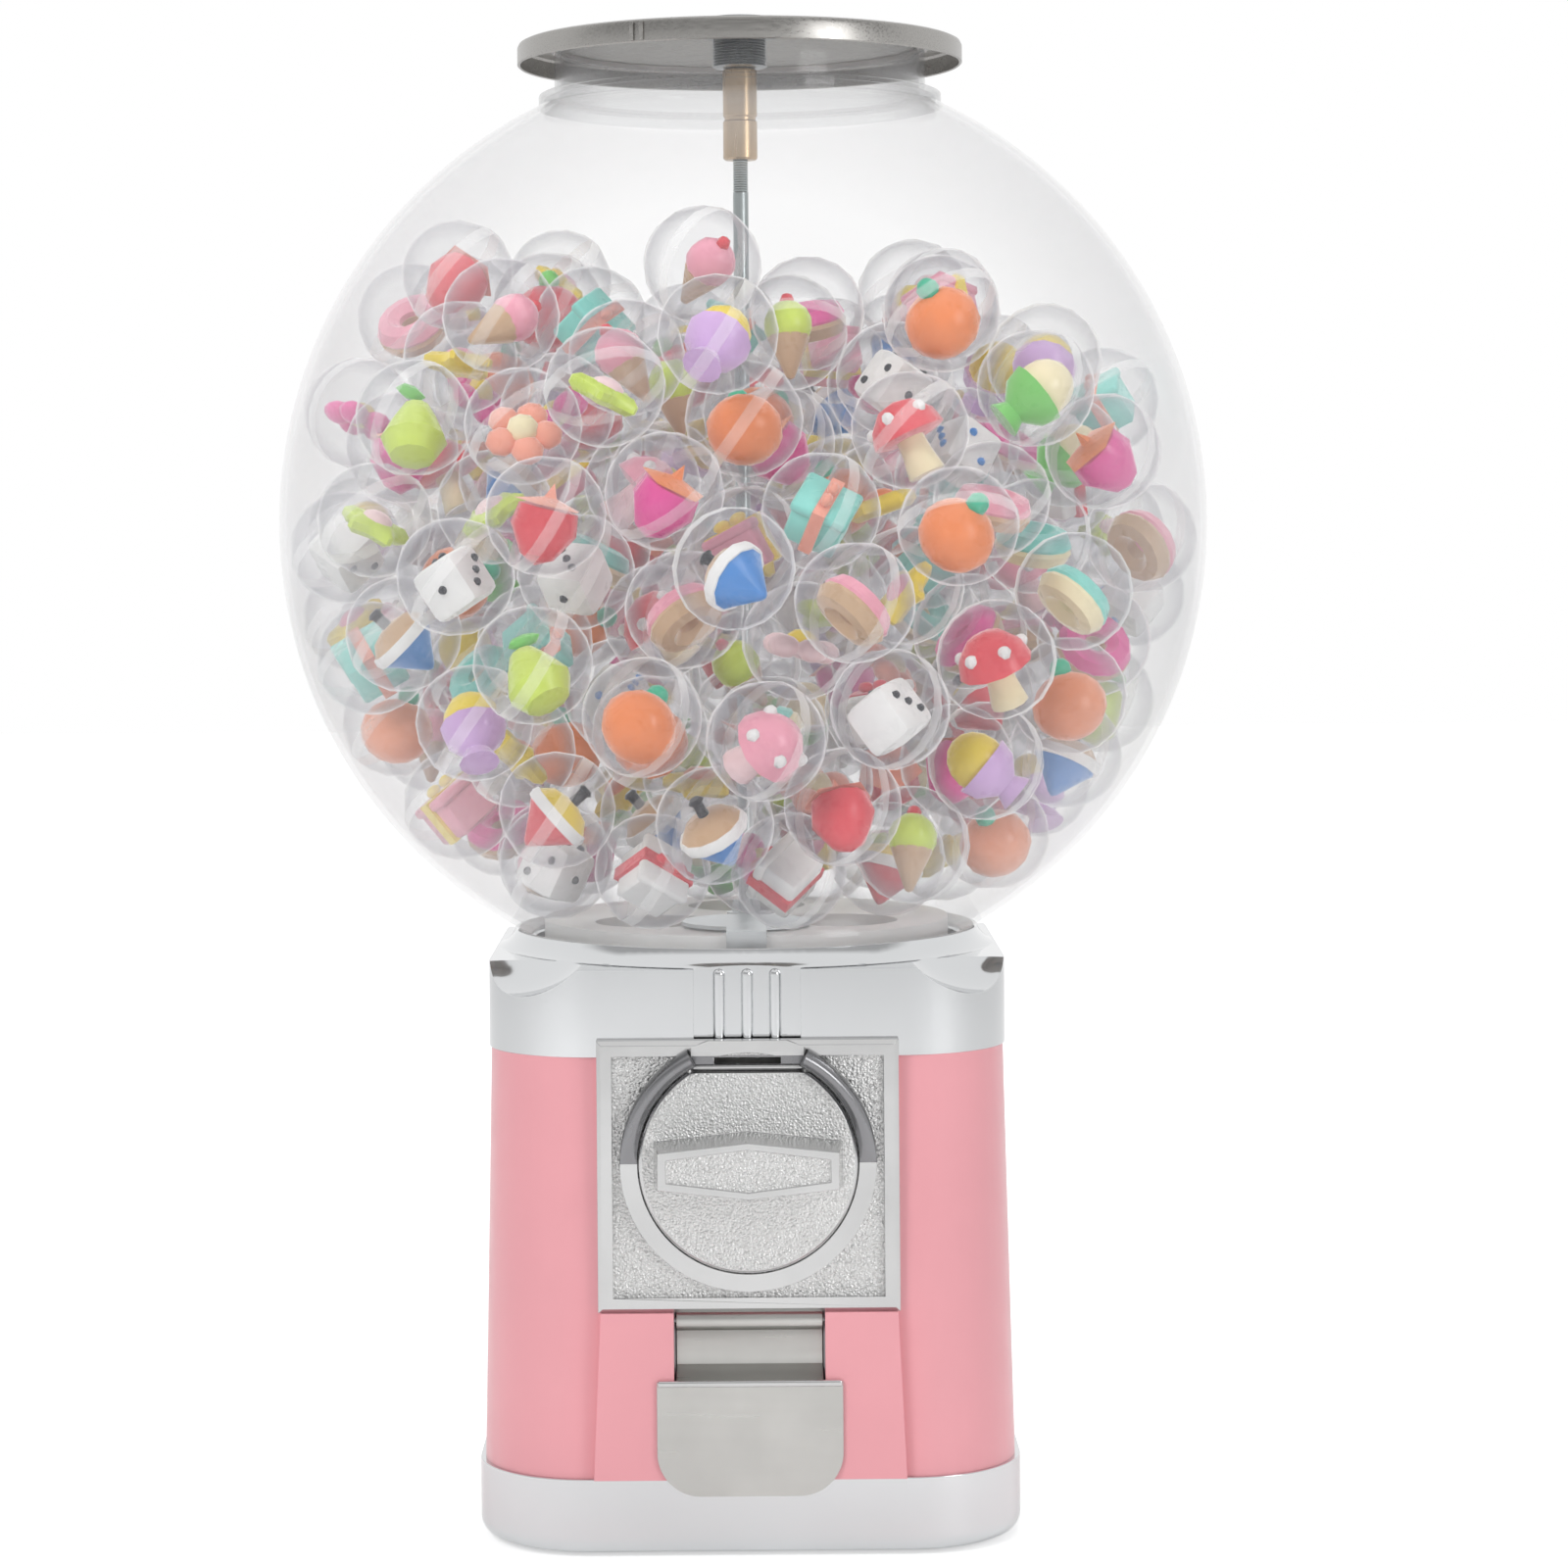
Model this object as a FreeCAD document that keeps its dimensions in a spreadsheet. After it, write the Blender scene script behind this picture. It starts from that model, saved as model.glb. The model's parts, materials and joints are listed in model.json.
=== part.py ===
import FreeCAD, Part
import math
import os
import Sketcher
from FreeCAD import Vector

doc = FreeCAD.newDocument("capsule_machine")

# Driving dimensions in millimetres. Front is -Y, up is +Z, the floor is z = 0.
SIZES = {
    "base_half": 108.0,
    "base_corner": 45.0,
    "base_height": 31.0,
    "base_wall": 4.0,
    "base_edge_round": 6.0,
    "rim_lift": 1.5,
    "floor_rise": 8.0,
    "floor_thick": 3.0,
    "foot_radius": 9.0,
    "foot_spread": 68.0,
    "foot_recess": 5.0,
    "foot_head_radius": 4.0,
    "foot_head_height": 2.5,
    "small_screw_radius": 1.6,
    "small_head_radius": 3.2,
    "small_head_height": 2.0,
    "body_half": 106.0,
    "body_draw_in": 3.5,
    "body_corner": 43.0,
    "body_height": 164.0,
    "body_wall": 2.0,
    "seat_gap": 0.3,
    "pad_thick": 4.5,
    "window_half": 44.0,
    "window_below": 50.0,
    "surround_top_half": 58.0,
    "surround_foot_half": 61.0,
    "surround_front": 110.0,
    "mouth_clear": 0.5,
    "sill_rise": 3.0,
    "cap_half": 103.5,
    "cap_corner": 44.0,
    "cap_wall": 3.0,
    "cap_rebate": 1.7,
    "cap_cavity": 12.0,
    "fascia_height": 34.0,
    "scoop_radius": 38.5,
    "scoop_reach": 130.0,
    "scoop_rise": 27.0,
    "collar_radius": 96.0,
    "collar_rise": 7.0,
    "collar_foot": 103.0,
    "collar_cove": 12.0,
    "collar_web": 6.0,
    "recess_half": 21.0,
    "recess_depth": 3.0,
    "rib_pitch": 11.0,
    "rib_radius": 2.4,
    "globe_radius": 192.5,
    "globe_wall": 2.5,
    "globe_opening": 88.0,
    "globe_seal": 1.0,
    "seal_squeeze": 0.05,
    "neck_radius": 77.4,
    "neck_over": 4.0,
    "bead_reach": 6.6,
    "bead_height": 5.0,
    "lid_overhang": 15.3,
    "lid_rim": 9.4,
    "lid_sheet": 1.2,
    "lid_step_in": 7.4,
    "lid_crown_radius": 24.0,
    "lid_crown": 8.0,
    "lid_seal": 2.0,
    "lock_radius": 11.5,
    "lock_drop": 18.4,
    "lock_flange_radius": 14.5,
    "lock_flange": 2.5,
    "lock_nut_radius": 15.0,
    "lock_nut_height": 4.5,
    "core_radius": 6.0,
    "core_depth": 10.0,
    "core_stem_radius": 2.6,
    "core_stem": 18.0,
    "key_width": 2.0,
    "key_depth": 3.0,
    "sleeve_radius": 7.15,
    "sleeve_length": 38.0,
    "sleeve_grip": 16.0,
    "rod_radius": 3.2,
    "rod_tail": 6.0,
    "nut_across": 10.0,
    "nut_height": 5.0,
    "washer_radius": 8.0,
    "washer_thick": 1.0,
    "loose_fit": 0.2,
    "running_fit": 0.06,
    "body_gap": 0.5,
    "shaft_drop": 40.6,
    "platform_radius": 71.0,
    "platform_thick": 3.0,
    "channel_depth": 15.5,
    "channel_floor": 2.5,
    "channel_radius": 86.0,
    "channel_wall": 2.5,
    "flange_thick": 2.0,
    "wheel_radius": 84.0,
    "wheel_height": 49.5,
    "wheel_skin": 2.5,
    "wheel_top": 3.0,
    "hub_radius": 11.0,
    "bush_radius": 7.5,
    "pocket_radius": 25.0,
    "pocket_pitch": 43.0,
    "pocket_wall": 2.2,
    "crown_inner": 76.0,
    "crown_ring": 5.0,
    "pinion_pitch": 26.667,
    "tooth_rise": 3.2,
    "tooth_fall": 4.2,
    "tooth_tip": 2.6,
    "tooth_pitch_width": 4.6,
    "tooth_root": 6.4,
    "pinion_face": 8.0,
    "pinion_slot_half": 26.0,
    "guard_thick": 1.5,
    "guard_gap": 0.8,
    "guard_radius": 26.0,
    "guard_leg_half": 8.0,
    "guard_foot": 8.0,
    "plate_half": 59.0,
    "plate_below": 58.4,
    "plate_above": 47.6,
    "plate_thick": 6.0,
    "plate_frame": 6.0,
    "plate_bevel": 1.8,
    "panel_depth": 2.0,
    "ring_clear": 0.5,
    "ring_width": 6.8,
    "ring_height": 3.0,
    "horn_height": 13.0,
    "horn_gap_half": 22.0,
    "slot_half": 13.0,
    "slot_height": 2.6,
    "slot_recess": 1.6,
    "stud_x": 51.0,
    "stud_low": 46.0,
    "stud_high": 34.0,
    "stud_radius": 2.0,
    "stud_length": 9.0,
    "knob_radius": 42.7,
    "knob_flat_drop": 7.3,
    "knob_thick": 4.4,
    "knob_bevel": 1.2,
    "handle_inset": 5.7,
    "handle_end": 9.0,
    "handle_mid": 13.0,
    "handle_height": 20.0,
    "handle_draft": 6.0,
    "handle_border": 2.6,
    "handle_dish": 0.8,
    "shaft_radius": 4.0,
    "carrier_radius": 30.0,
    "carrier_thick": 2.4,
    "carrier_gap": 0.4,
    "coin_radius": 12.2,
    "ratchet_radius": 18.0,
    "ratchet_step": 3.0,
    "ratchet_thick": 4.0,
    "ratchet_gap": 4.0,
    "pawl_thick": 0.6,
    "pawl_width": 3.4,
    "frame_half": 34.0,
    "frame_sheet": 2.0,
    "frame_back": 29.0,
    "frame_low": 38.0,
    "frame_high": 16.4,
    "frame_flange": 8.0,
    "frame_screw_x": 38.0,
    "frame_screw_z": 12.0,
    "shaft_bush_radius": 7.0,
    "shaft_bush_head": 9.0,
    "clip_radius": 7.0,
    "clip_thick": 0.8,
    "flap_reach": 7.25,
    "flap_sheet": 1.2,
    "flap_corner": 17.0,
    "flap_overlap": 6.0,
    "flap_gap": 0.3,
    "hinge_drop": 4.5,
    "hinge_back": 10.0,
    "barrel_radius": 4.0,
    "flap_pin_radius": 1.5,
    "tongue_clear": 0.4,
    "tongue_length": 17.5,
    "tongue_set_back": 3.0,
    "fold_drop": 22.0,
    "chute_half": 29.0,
    "chute_wall": 2.0,
    "chute_back": 17.0,
    "chute_knee": 47.0,
    "chute_front": 101.0,
    "slide_thick": 1.2,
    "slide_rise": 8.0,
    "slide_fall": 14.0,
    "slide_lip": 6.0,
    "coin_box_clear": 5.0,
    "coin_box_far": 76.0,
    "coin_box_front": 92.0,
    "coin_box_back": 60.0,
    "coin_box_height": 48.0,
    "coin_box_wall": 1.5,
    "capsule_radius": 23.5,
    "capsule_wall": 1.0,
    "capsule_gap": 0.3,
    "fill_middle": 0.447,
    "fill_edge": 0.675,
}
CROWN_TEETH = 36
PINION_TEETH = 12
POCKETS = 3
RATCHET_TEETH = 12
MAX_CAPSULES = 240


class Size:
    """A dimension that carries its number and the spreadsheet expression behind it."""

    def __init__(self, value, text):
        self.value = value
        self.text = text

    def join(self, sign, other, value):
        return Size(value, "(" + self.text + " " + sign + " " + other.text + ")")

    def __add__(self, other):
        other = as_size(other)
        return self.join("+", other, self.value + other.value)

    def __radd__(self, other):
        return as_size(other) + self

    def __sub__(self, other):
        other = as_size(other)
        return self.join("-", other, self.value - other.value)

    def __rsub__(self, other):
        return as_size(other) - self

    def __mul__(self, other):
        other = as_size(other)
        return self.join("*", other, self.value * other.value)

    def __rmul__(self, other):
        return as_size(other) * self

    def __truediv__(self, other):
        other = as_size(other)
        return self.join("/", other, self.value / other.value)

    def __neg__(self):
        return as_size(0.0) - self


def as_size(number):
    if isinstance(number, Size):
        return number
    return Size(float(number), "({:.9f})".format(number))


def root(size):
    return Size(math.sqrt(size.value), "sqrt(" + size.text + ")")


sheet = doc.addObject("Spreadsheet::Sheet", "dims")
for row, (alias, number) in enumerate(SIZES.items(), start=1):
    sheet.set("A{}".format(row), alias)
    sheet.set("B{}".format(row), str(number))
    sheet.setAlias("B{}".format(row), alias)
doc.recompute()


class Dims:
    """Named access to the sheet's driving dimensions."""

    def __getattr__(self, alias):
        return Size(float(getattr(sheet, alias)), "dims." + alias)


d = Dims()
ZERO = as_size(0.0)
nodes = []


def place(obj, x=ZERO, y=ZERO, z=ZERO, axis=None, turn=0.0):
    if axis:
        obj.Placement = FreeCAD.Placement(Vector(0, 0, 0), FreeCAD.Rotation(axis, turn))
    for letter, size in zip("xyz", (x, y, z)):
        obj.setExpression("Placement.Base." + letter, as_size(size).text)
    return obj


def keep(obj, label):
    obj.Label = label
    nodes.append(obj)
    return obj


def block(name, x0, x1, y0, y1, z0, z1):
    box = doc.addObject("Part::Box", name)
    for side, low, high in (("Length", x0, x1), ("Width", y0, y1), ("Height", z0, z1)):
        box.setExpression(side, (as_size(high) - as_size(low)).text)
    return place(box, x0, y0, z0)


ALONG = {
    "z": (Vector(0, 0, 1), 0.0),
    "y": (Vector(1, 0, 0), -90.0),
    "x": (Vector(0, 1, 0), 90.0),
}


def rod(name, radius, length, x, y, z, along="z"):
    cylinder = doc.addObject("Part::Cylinder", name)
    cylinder.setExpression("Radius", as_size(radius).text)
    cylinder.setExpression("Height", as_size(length).text)
    axis, turn = ALONG[along]
    return place(cylinder, x, y, z, axis, turn)


def hexagon(name, across, length, z):
    prism = doc.addObject("Part::Prism", name)
    prism.Polygon = 6
    prism.setExpression("Circumradius", (as_size(across) / math.sqrt(3.0)).text)
    prism.setExpression("Height", as_size(length).text)
    return place(prism, ZERO, ZERO, z)


def cut(name, base, tool):
    result = doc.addObject("Part::Cut", name)
    result.Base = base
    result.Tool = tool
    return result


def fuse(name, *shapes):
    result = doc.addObject("Part::MultiFuse", name)
    result.Shapes = list(shapes)
    return result


def common(name, *shapes):
    result = doc.addObject("Part::MultiCommon", name)
    result.Shapes = list(shapes)
    return result


def group(name, shapes):
    result = doc.addObject("Part::Compound", name)
    result.Links = list(shapes)
    return result


def new_body(name):
    return doc.addObject("PartDesign::Body", name)


def origin_feature(body, role):
    return [f for f in body.Origin.OriginFeatures if f.Role == role][0]


def sketch_on(body, role, offset=ZERO):
    sketch = body.newObject("Sketcher::SketchObject", body.Name + "_sketch")
    sketch.AttachmentSupport = [(origin_feature(body, role), "")]
    sketch.MapMode = "FlatFace"
    sketch.setExpression("AttachmentOffset.Base.z", as_size(offset).text)
    return sketch


def bind_point(sketch, geometry, position, point):
    for kind, size in zip(("DistanceX", "DistanceY"), point):
        size = as_size(size)
        index = sketch.addConstraint(Sketcher.Constraint(kind, -1, 1, geometry, position, size.value))
        sketch.setExpression("Constraints[{}]".format(index), size.text)


def bind_radius(sketch, geometry, radius):
    radius = as_size(radius)
    index = sketch.addConstraint(Sketcher.Constraint("Radius", geometry, radius.value))
    sketch.setExpression("Constraints[{}]".format(index), radius.text)


def circle(sketch, x, y, radius):
    x, y, radius = as_size(x), as_size(y), as_size(radius)
    shape = Part.Circle(Vector(x.value, y.value, 0), Vector(0, 0, 1), radius.value)
    geometry = sketch.addGeometry(shape, False)
    bind_point(sketch, geometry, 3, (x, y))
    bind_radius(sketch, geometry, radius)


def outline(sketch, points, arcs=None):
    """Close the points with lines; arcs maps an edge's index to (radius, side), side +1 bulging left."""
    arcs = arcs or {}
    points = [(as_size(x), as_size(y)) for x, y in points]
    flat = [Vector(x.value, y.value, 0) for x, y in points]
    ends = []
    for i, start in enumerate(flat):
        stop = flat[(i + 1) % len(flat)]
        if i not in arcs:
            geometry = sketch.addGeometry(Part.LineSegment(start, stop), False)
            ends.append((geometry, 1, 2))
            continue
        radius, side = arcs[i]
        chord = stop - start
        half = chord.Length / 2.0
        sagitta = radius.value - math.sqrt(max(radius.value ** 2 - half ** 2, 0.0))
        left = Vector(-chord.y, chord.x, 0).normalize()
        crest = (start + stop) * 0.5 + left * (side * sagitta)
        geometry = sketch.addGeometry(Part.Arc(start, crest, stop), False)
        forward = sketch.getPoint(geometry, 1).distanceToPoint(start) < 1e-6
        ends.append((geometry, 1, 2) if forward else (geometry, 2, 1))
    for i, (geometry, first, last) in enumerate(ends):
        following, start, _ = ends[(i + 1) % len(ends)]
        sketch.addConstraint(Sketcher.Constraint("Coincident", geometry, last, following, start))
    for (geometry, first, _), point in zip(ends, points):
        bind_point(sketch, geometry, first, point)
    for i, (radius, _) in arcs.items():
        bind_radius(sketch, ends[i][0], radius)


def rectangle(sketch, x0, x1, y0, y1):
    outline(sketch, [(x0, y0), (x1, y0), (x1, y1), (x0, y1)])


def rounded_square(sketch, half, corner):
    flat = half - corner
    points = [
        (flat, -half), (half, -flat), (half, flat), (flat, half),
        (-flat, half), (-half, flat), (-half, -flat), (-flat, -half),
    ]
    outline(sketch, points, {i: (corner, -1) for i in (0, 2, 4, 6)})


def pad(body, sketch, length, draft=None):
    feature = body.newObject("PartDesign::Pad", body.Name + "_pad")
    feature.Profile = sketch
    feature.setExpression("Length", as_size(length).text)
    if draft is not None:
        feature.setExpression("TaperAngle", draft.text)
    return feature


def pocket(body, sketch, length):
    feature = body.newObject("PartDesign::Pocket", body.Name + "_pocket")
    feature.Profile = sketch
    feature.setExpression("Length", as_size(length).text)
    return feature


def spin(body, sketch):
    feature = body.newObject("PartDesign::Revolution", body.Name + "_spin")
    feature.Profile = sketch
    feature.ReferenceAxis = (sketch, ["V_Axis"])
    feature.Angle = 360.0
    return feature


def spun(name, points, arcs=None):
    body = new_body(name)
    sketch = sketch_on(body, "XZ_Plane")
    outline(sketch, points, arcs)
    spin(body, sketch)
    return body


def tube(name, inner, outer, z0, z1):
    return spun(name, [(inner, z0), (outer, z0), (outer, z1), (inner, z1)])


def edges_at(feature, test):
    doc.recompute()
    found = []
    for i, edge in enumerate(feature.Shape.Edges, start=1):
        if test(edge.BoundBox):
            found.append("Edge{}".format(i))
    return found


def soften(body, kind, feature, size, test):
    names = edges_at(feature, test)
    softened = body.newObject("PartDesign::" + kind, body.Name + "_edge")
    softened.Base = (feature, names)
    softened.setExpression("Radius" if kind == "Fillet" else "Size", size.text)
    return softened


def square_prism(name, half, corner, z0, z1):
    body = new_body(name)
    sketch = sketch_on(body, "XY_Plane", z0)
    rounded_square(sketch, half, corner)
    pad(body, sketch, z1 - z0)
    return body


# Radii and half widths that follow the piece that they fit.
neck_bead = d.neck_radius + d.bead_reach
lid_radius = d.neck_radius + d.lid_overhang
lid_step = d.neck_radius - d.lid_step_in
ring_inner = d.knob_radius + d.ring_clear
ring_outer = ring_inner + d.ring_width
knob_flat = d.knob_radius - d.knob_flat_drop
mouth_half = d.chute_half + d.mouth_clear
flap_half = d.chute_half + d.flap_reach
tongue_half = d.chute_half - d.tongue_clear
coin_box_near = d.chute_half + d.coin_box_clear

# Heights and planes that several pieces share.
z_floor = d.floor_rise + d.floor_thick
z_body_top = d.base_height + d.body_height
z_shaft = z_body_top - d.shaft_drop
z_plate_low = z_shaft - d.plate_below
z_plate_high = z_shaft + d.plate_above
z_ridge = z_body_top + d.fascia_height
z_collar = z_ridge + d.collar_rise
seat_radius = d.globe_radius + d.globe_seal
z_globe = z_collar + root(seat_radius * seat_radius - d.collar_radius * d.collar_radius)
z_neck_top = z_globe + d.globe_radius + d.neck_over
z_lid_under = z_neck_top + d.lid_seal
z_lid_top = z_lid_under + d.lid_sheet
z_crown = z_lid_top + d.lid_crown
z_pitch = z_shaft + d.pinion_pitch
z_crown_root = z_pitch + d.tooth_fall
z_wheel = z_crown_root + d.crown_ring
z_wheel_top = z_wheel + d.wheel_height
z_platform = z_wheel - d.body_gap
z_channel = z_platform - d.channel_depth
z_guard = z_wheel_top + d.guard_gap
z_guard_top = z_guard + d.guard_thick
z_sill = d.base_height + d.sill_rise
z_hinge = z_plate_low - d.hinge_drop
z_lock_foot = z_crown - d.lock_drop
y_seat = -(d.cap_half + d.seat_gap)
y_panel = y_seat - d.plate_thick + d.panel_depth
y_knob = y_panel - d.seat_gap
y_hinge = d.hinge_back - d.surround_front
y_crown = -(d.crown_inner + d.wheel_radius) / 2.0


def make_base():
    rim = new_body("base_rim")
    sketch = sketch_on(rim, "XY_Plane", d.rim_lift)
    rounded_square(sketch, d.base_half, d.base_corner)
    solid = pad(rim, sketch, d.base_height - d.rim_lift)
    low = SIZES["rim_lift"] + 0.01
    soften(rim, "Fillet", solid, d.base_edge_round, lambda box: box.ZMax < low)
    inner_half = d.base_half - d.base_wall
    inner_corner = d.base_corner - d.base_wall
    upper = sketch_on(rim, "XY_Plane", d.base_height)
    rounded_square(upper, inner_half, inner_corner)
    pocket(rim, upper, d.base_height - z_floor)
    under_half = inner_half - d.base_edge_round
    lower = sketch_on(rim, "XY_Plane", d.floor_rise)
    rounded_square(lower, under_half, inner_corner - d.base_edge_round / 2.0)
    pocket(rim, lower, d.floor_rise)
    bore = sketch_on(rim, "XY_Plane", z_floor)
    circle(bore, ZERO, ZERO, d.rod_radius + d.loose_fit)
    for x in (-1, 1):
        for y in (-1, 1):
            circle(bore, d.foot_spread * x, d.foot_spread * y, d.small_screw_radius + d.loose_fit)
    pocket(rim, bore, d.floor_thick)
    keep(rim, "base_pan")

    feet, screws = [], []
    for x in (-1, 1):
        for y in (-1, 1):
            at = (d.foot_spread * x, d.foot_spread * y)
            disc = rod("foot", d.foot_radius, d.floor_rise, at[0], at[1], ZERO)
            well = rod("foot_well", d.foot_head_radius + d.loose_fit * 2, d.foot_recess, at[0], at[1], ZERO)
            hole = rod("foot_hole", d.small_screw_radius + d.loose_fit, d.floor_rise, at[0], at[1], ZERO)
            feet.append(cut("rubber_foot", disc, fuse("foot_bore", well, hole)))
            head_low = d.foot_recess - d.foot_head_height
            head = rod("foot_head", d.foot_head_radius, d.foot_head_height, at[0], at[1], head_low)
            shank_length = z_floor - d.foot_recess
            shank = rod("foot_shank", d.small_screw_radius, shank_length, at[0], at[1], d.foot_recess)
            screws.append(fuse("foot_screw", head, shank))
    keep(group("feet", feet), "rubber_feet")
    keep(group("foot_fasteners", screws), "foot_screws")


def tapered(name, inset, grow):
    body = new_body(name)
    sketch = sketch_on(body, "XY_Plane", d.base_height - grow)
    slope = d.body_draw_in / d.body_height
    half = d.body_half - inset + slope * grow
    rounded_square(sketch, half, d.body_corner - inset + slope * grow)
    top = sketch_on(body, "XY_Plane", z_body_top + grow)
    half_top = d.body_half - d.body_draw_in - inset - slope * grow
    rounded_square(top, half_top, d.body_corner - d.body_draw_in - inset - slope * grow)
    loft = body.newObject("PartDesign::AdditiveLoft", name + "_loft")
    loft.Profile = sketch
    loft.Sections = [top]
    loft.Ruled = True
    return body


def make_body():
    outer = tapered("body_outer", ZERO, ZERO)
    inner = tapered("body_inner", d.body_wall, as_size(1.0))
    pad_block = block(
        "coin_pad", -d.plate_half, d.plate_half, y_seat, y_seat + d.pad_thick, z_plate_low, z_body_top
    )
    surround = new_body("chute_surround")
    depth = d.surround_front - d.body_half + d.body_draw_in
    face = sketch_on(surround, "XZ_Plane", d.surround_front - depth)
    outline(face, [
        (-d.surround_foot_half, d.base_height), (d.surround_foot_half, d.base_height),
        (d.surround_top_half, z_plate_low), (-d.surround_top_half, z_plate_low),
    ])
    pad(surround, face, depth)
    shell = cut("hollow_body", outer, inner)
    whole = fuse("body_mass", shell, pad_block, surround)
    far = -(d.surround_front + d.body_half)
    trim = block("seat_face", -d.plate_half, d.plate_half, far, y_seat, z_plate_low, z_body_top + d.cap_wall)
    window = block(
        "coin_window", -d.window_half, d.window_half, far, y_seat + d.pad_thick * 2,
        z_shaft - d.window_below, z_body_top + d.cap_wall,
    )
    mouth = block("chute_mouth", -mouth_half, mouth_half, far, y_seat + d.pad_thick * 2, z_sill, z_plate_low)
    stud_holes = []
    for x in (-1, 1):
        for z in (-d.stud_low, d.stud_high):
            radius = d.stud_radius + d.loose_fit
            stud_holes.append(rod(
                "stud_hole", radius, d.pad_thick * 4, d.stud_x * x, y_seat - d.pad_thick, z_shaft + z, "y"
            ))
    tools = fuse("body_openings", trim, window, mouth, *stud_holes)
    keep(cut("pink_body", whole, tools), "body_shell")


def make_cap():
    prism = square_prism("cap_prism", d.cap_half, d.cap_corner, z_body_top, z_ridge)
    collar = spun("cap_collar", [
        (ZERO, z_ridge - d.collar_rise), (d.collar_foot, z_ridge - d.collar_rise), (d.collar_foot, z_ridge),
        (d.collar_radius, z_collar), (ZERO, z_collar),
    ], {2: (d.collar_cove, 1)})
    scoops = []
    across = d.scoop_reach * math.sqrt(0.5)
    for x in (-1, 1):
        for y in (-1, 1):
            scoop = doc.addObject("Part::Sphere", "corner_scoop")
            scoop.setExpression("Radius", d.scoop_radius.text)
            scoops.append(place(scoop, across * x, across * y, z_ridge + d.scoop_rise))
    solid = cut("cap_form", fuse("cap_mass", prism, collar), fuse("cap_scoops", *scoops))
    cavity = square_prism(
        "cap_cavity_low", d.cap_half - d.cap_wall, d.cap_corner - d.cap_wall,
        z_body_top - d.cap_wall, z_body_top + d.cap_cavity,
    )
    rebate = square_prism(
        "cap_rebate_cut", d.cap_half - d.cap_wall + d.cap_rebate, d.cap_corner - d.cap_wall + d.cap_rebate,
        z_body_top - d.cap_wall, z_body_top + d.flange_thick + d.seat_gap,
    )
    bowl = rod(
        "cap_bowl", d.cap_half - d.cap_wall, z_ridge - d.collar_web - z_body_top, ZERO, ZERO, z_body_top
    )
    throat = rod("cap_throat", d.globe_opening, z_collar - z_body_top + d.cap_wall, ZERO, ZERO, z_body_top)
    seat = doc.addObject("Part::Sphere", "cap_seat")
    seat.setExpression("Radius", seat_radius.text)
    place(seat, ZERO, ZERO, z_globe)
    front = -d.cap_half
    recess = block(
        "rib_recess", -d.recess_half, d.recess_half, front - d.cap_wall, front + d.recess_depth,
        z_body_top - d.cap_wall, z_collar,
    )
    backing = block(
        "rib_backing", -d.recess_half - d.cap_wall, d.recess_half + d.cap_wall,
        front + d.recess_depth, front + d.recess_depth + d.cap_wall,
        z_body_top + d.flange_thick + d.seat_gap, z_ridge - d.collar_web,
    )
    ribs = []
    z_rib_top = z_ridge - d.rib_radius
    for x in (-1, 0, 1):
        low = z_body_top + d.flange_thick + d.seat_gap
        at = (d.rib_pitch * x, front + d.recess_depth)
        ribs.append(rod("rib", d.rib_radius, z_rib_top - low, at[0], at[1], low))
        tip = doc.addObject("Part::Sphere", "rib_tip")
        tip.setExpression("Radius", d.rib_radius.text)
        ribs.append(place(tip, at[0], at[1], z_rib_top))
    hollow = cut("cap_hollow", solid, fuse("cap_cuts", cavity, rebate, bowl, throat, seat, recess))
    keep(fuse("chrome_cap", hollow, backing, *ribs), "top_cap")


def sphere_height(radius, reach):
    return root(radius * radius - reach * reach)


def make_globe():
    inner_radius = d.globe_radius - d.globe_wall
    outer = doc.addObject("Part::Sphere", "globe_outer")
    outer.setExpression("Radius", d.globe_radius.text)
    place(outer, ZERO, ZERO, z_globe)
    inner = doc.addObject("Part::Sphere", "globe_inner")
    inner.setExpression("Radius", inner_radius.text)
    place(inner, ZERO, ZERO, z_globe)
    z_bead = z_globe + sphere_height(d.globe_radius, neck_bead)
    z_bore = z_globe - d.globe_radius
    neck = rod("globe_neck", d.neck_radius, z_neck_top - z_globe, ZERO, ZERO, z_globe)
    bead = rod("globe_bead", neck_bead, z_bead + d.bead_height - z_globe, ZERO, ZERO, z_globe)
    throat = rod("globe_throat", d.neck_radius - d.globe_wall, z_neck_top - z_globe, ZERO, ZERO, z_globe)
    mouth = rod("globe_mouth", d.globe_opening, d.globe_radius, ZERO, ZERO, z_bore)
    ball = fuse("globe_mass", outer, neck, bead)
    keep(cut("clear_globe", ball, fuse("globe_space", inner, throat, mouth)), "globe")


def make_seals():
    inner = d.globe_radius + d.seal_squeeze
    outer = seat_radius - d.seal_squeeze
    near = d.globe_opening + d.cap_wall / 2.0
    far = d.collar_radius - d.cap_wall / 2.0
    keep(spun("globe_ring", [
        (near, z_globe - sphere_height(inner, near)), (near, z_globe - sphere_height(outer, near)),
        (far, z_globe - sphere_height(outer, far)), (far, z_globe - sphere_height(inner, far)),
    ], {1: (outer, -1), 3: (inner, 1)}), "globe_gasket")
    keep(tube(
        "neck_ring", d.neck_radius - d.globe_wall, d.neck_radius + d.globe_wall / 2.0, z_neck_top, z_lid_under
    ), "neck_gasket")


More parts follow.
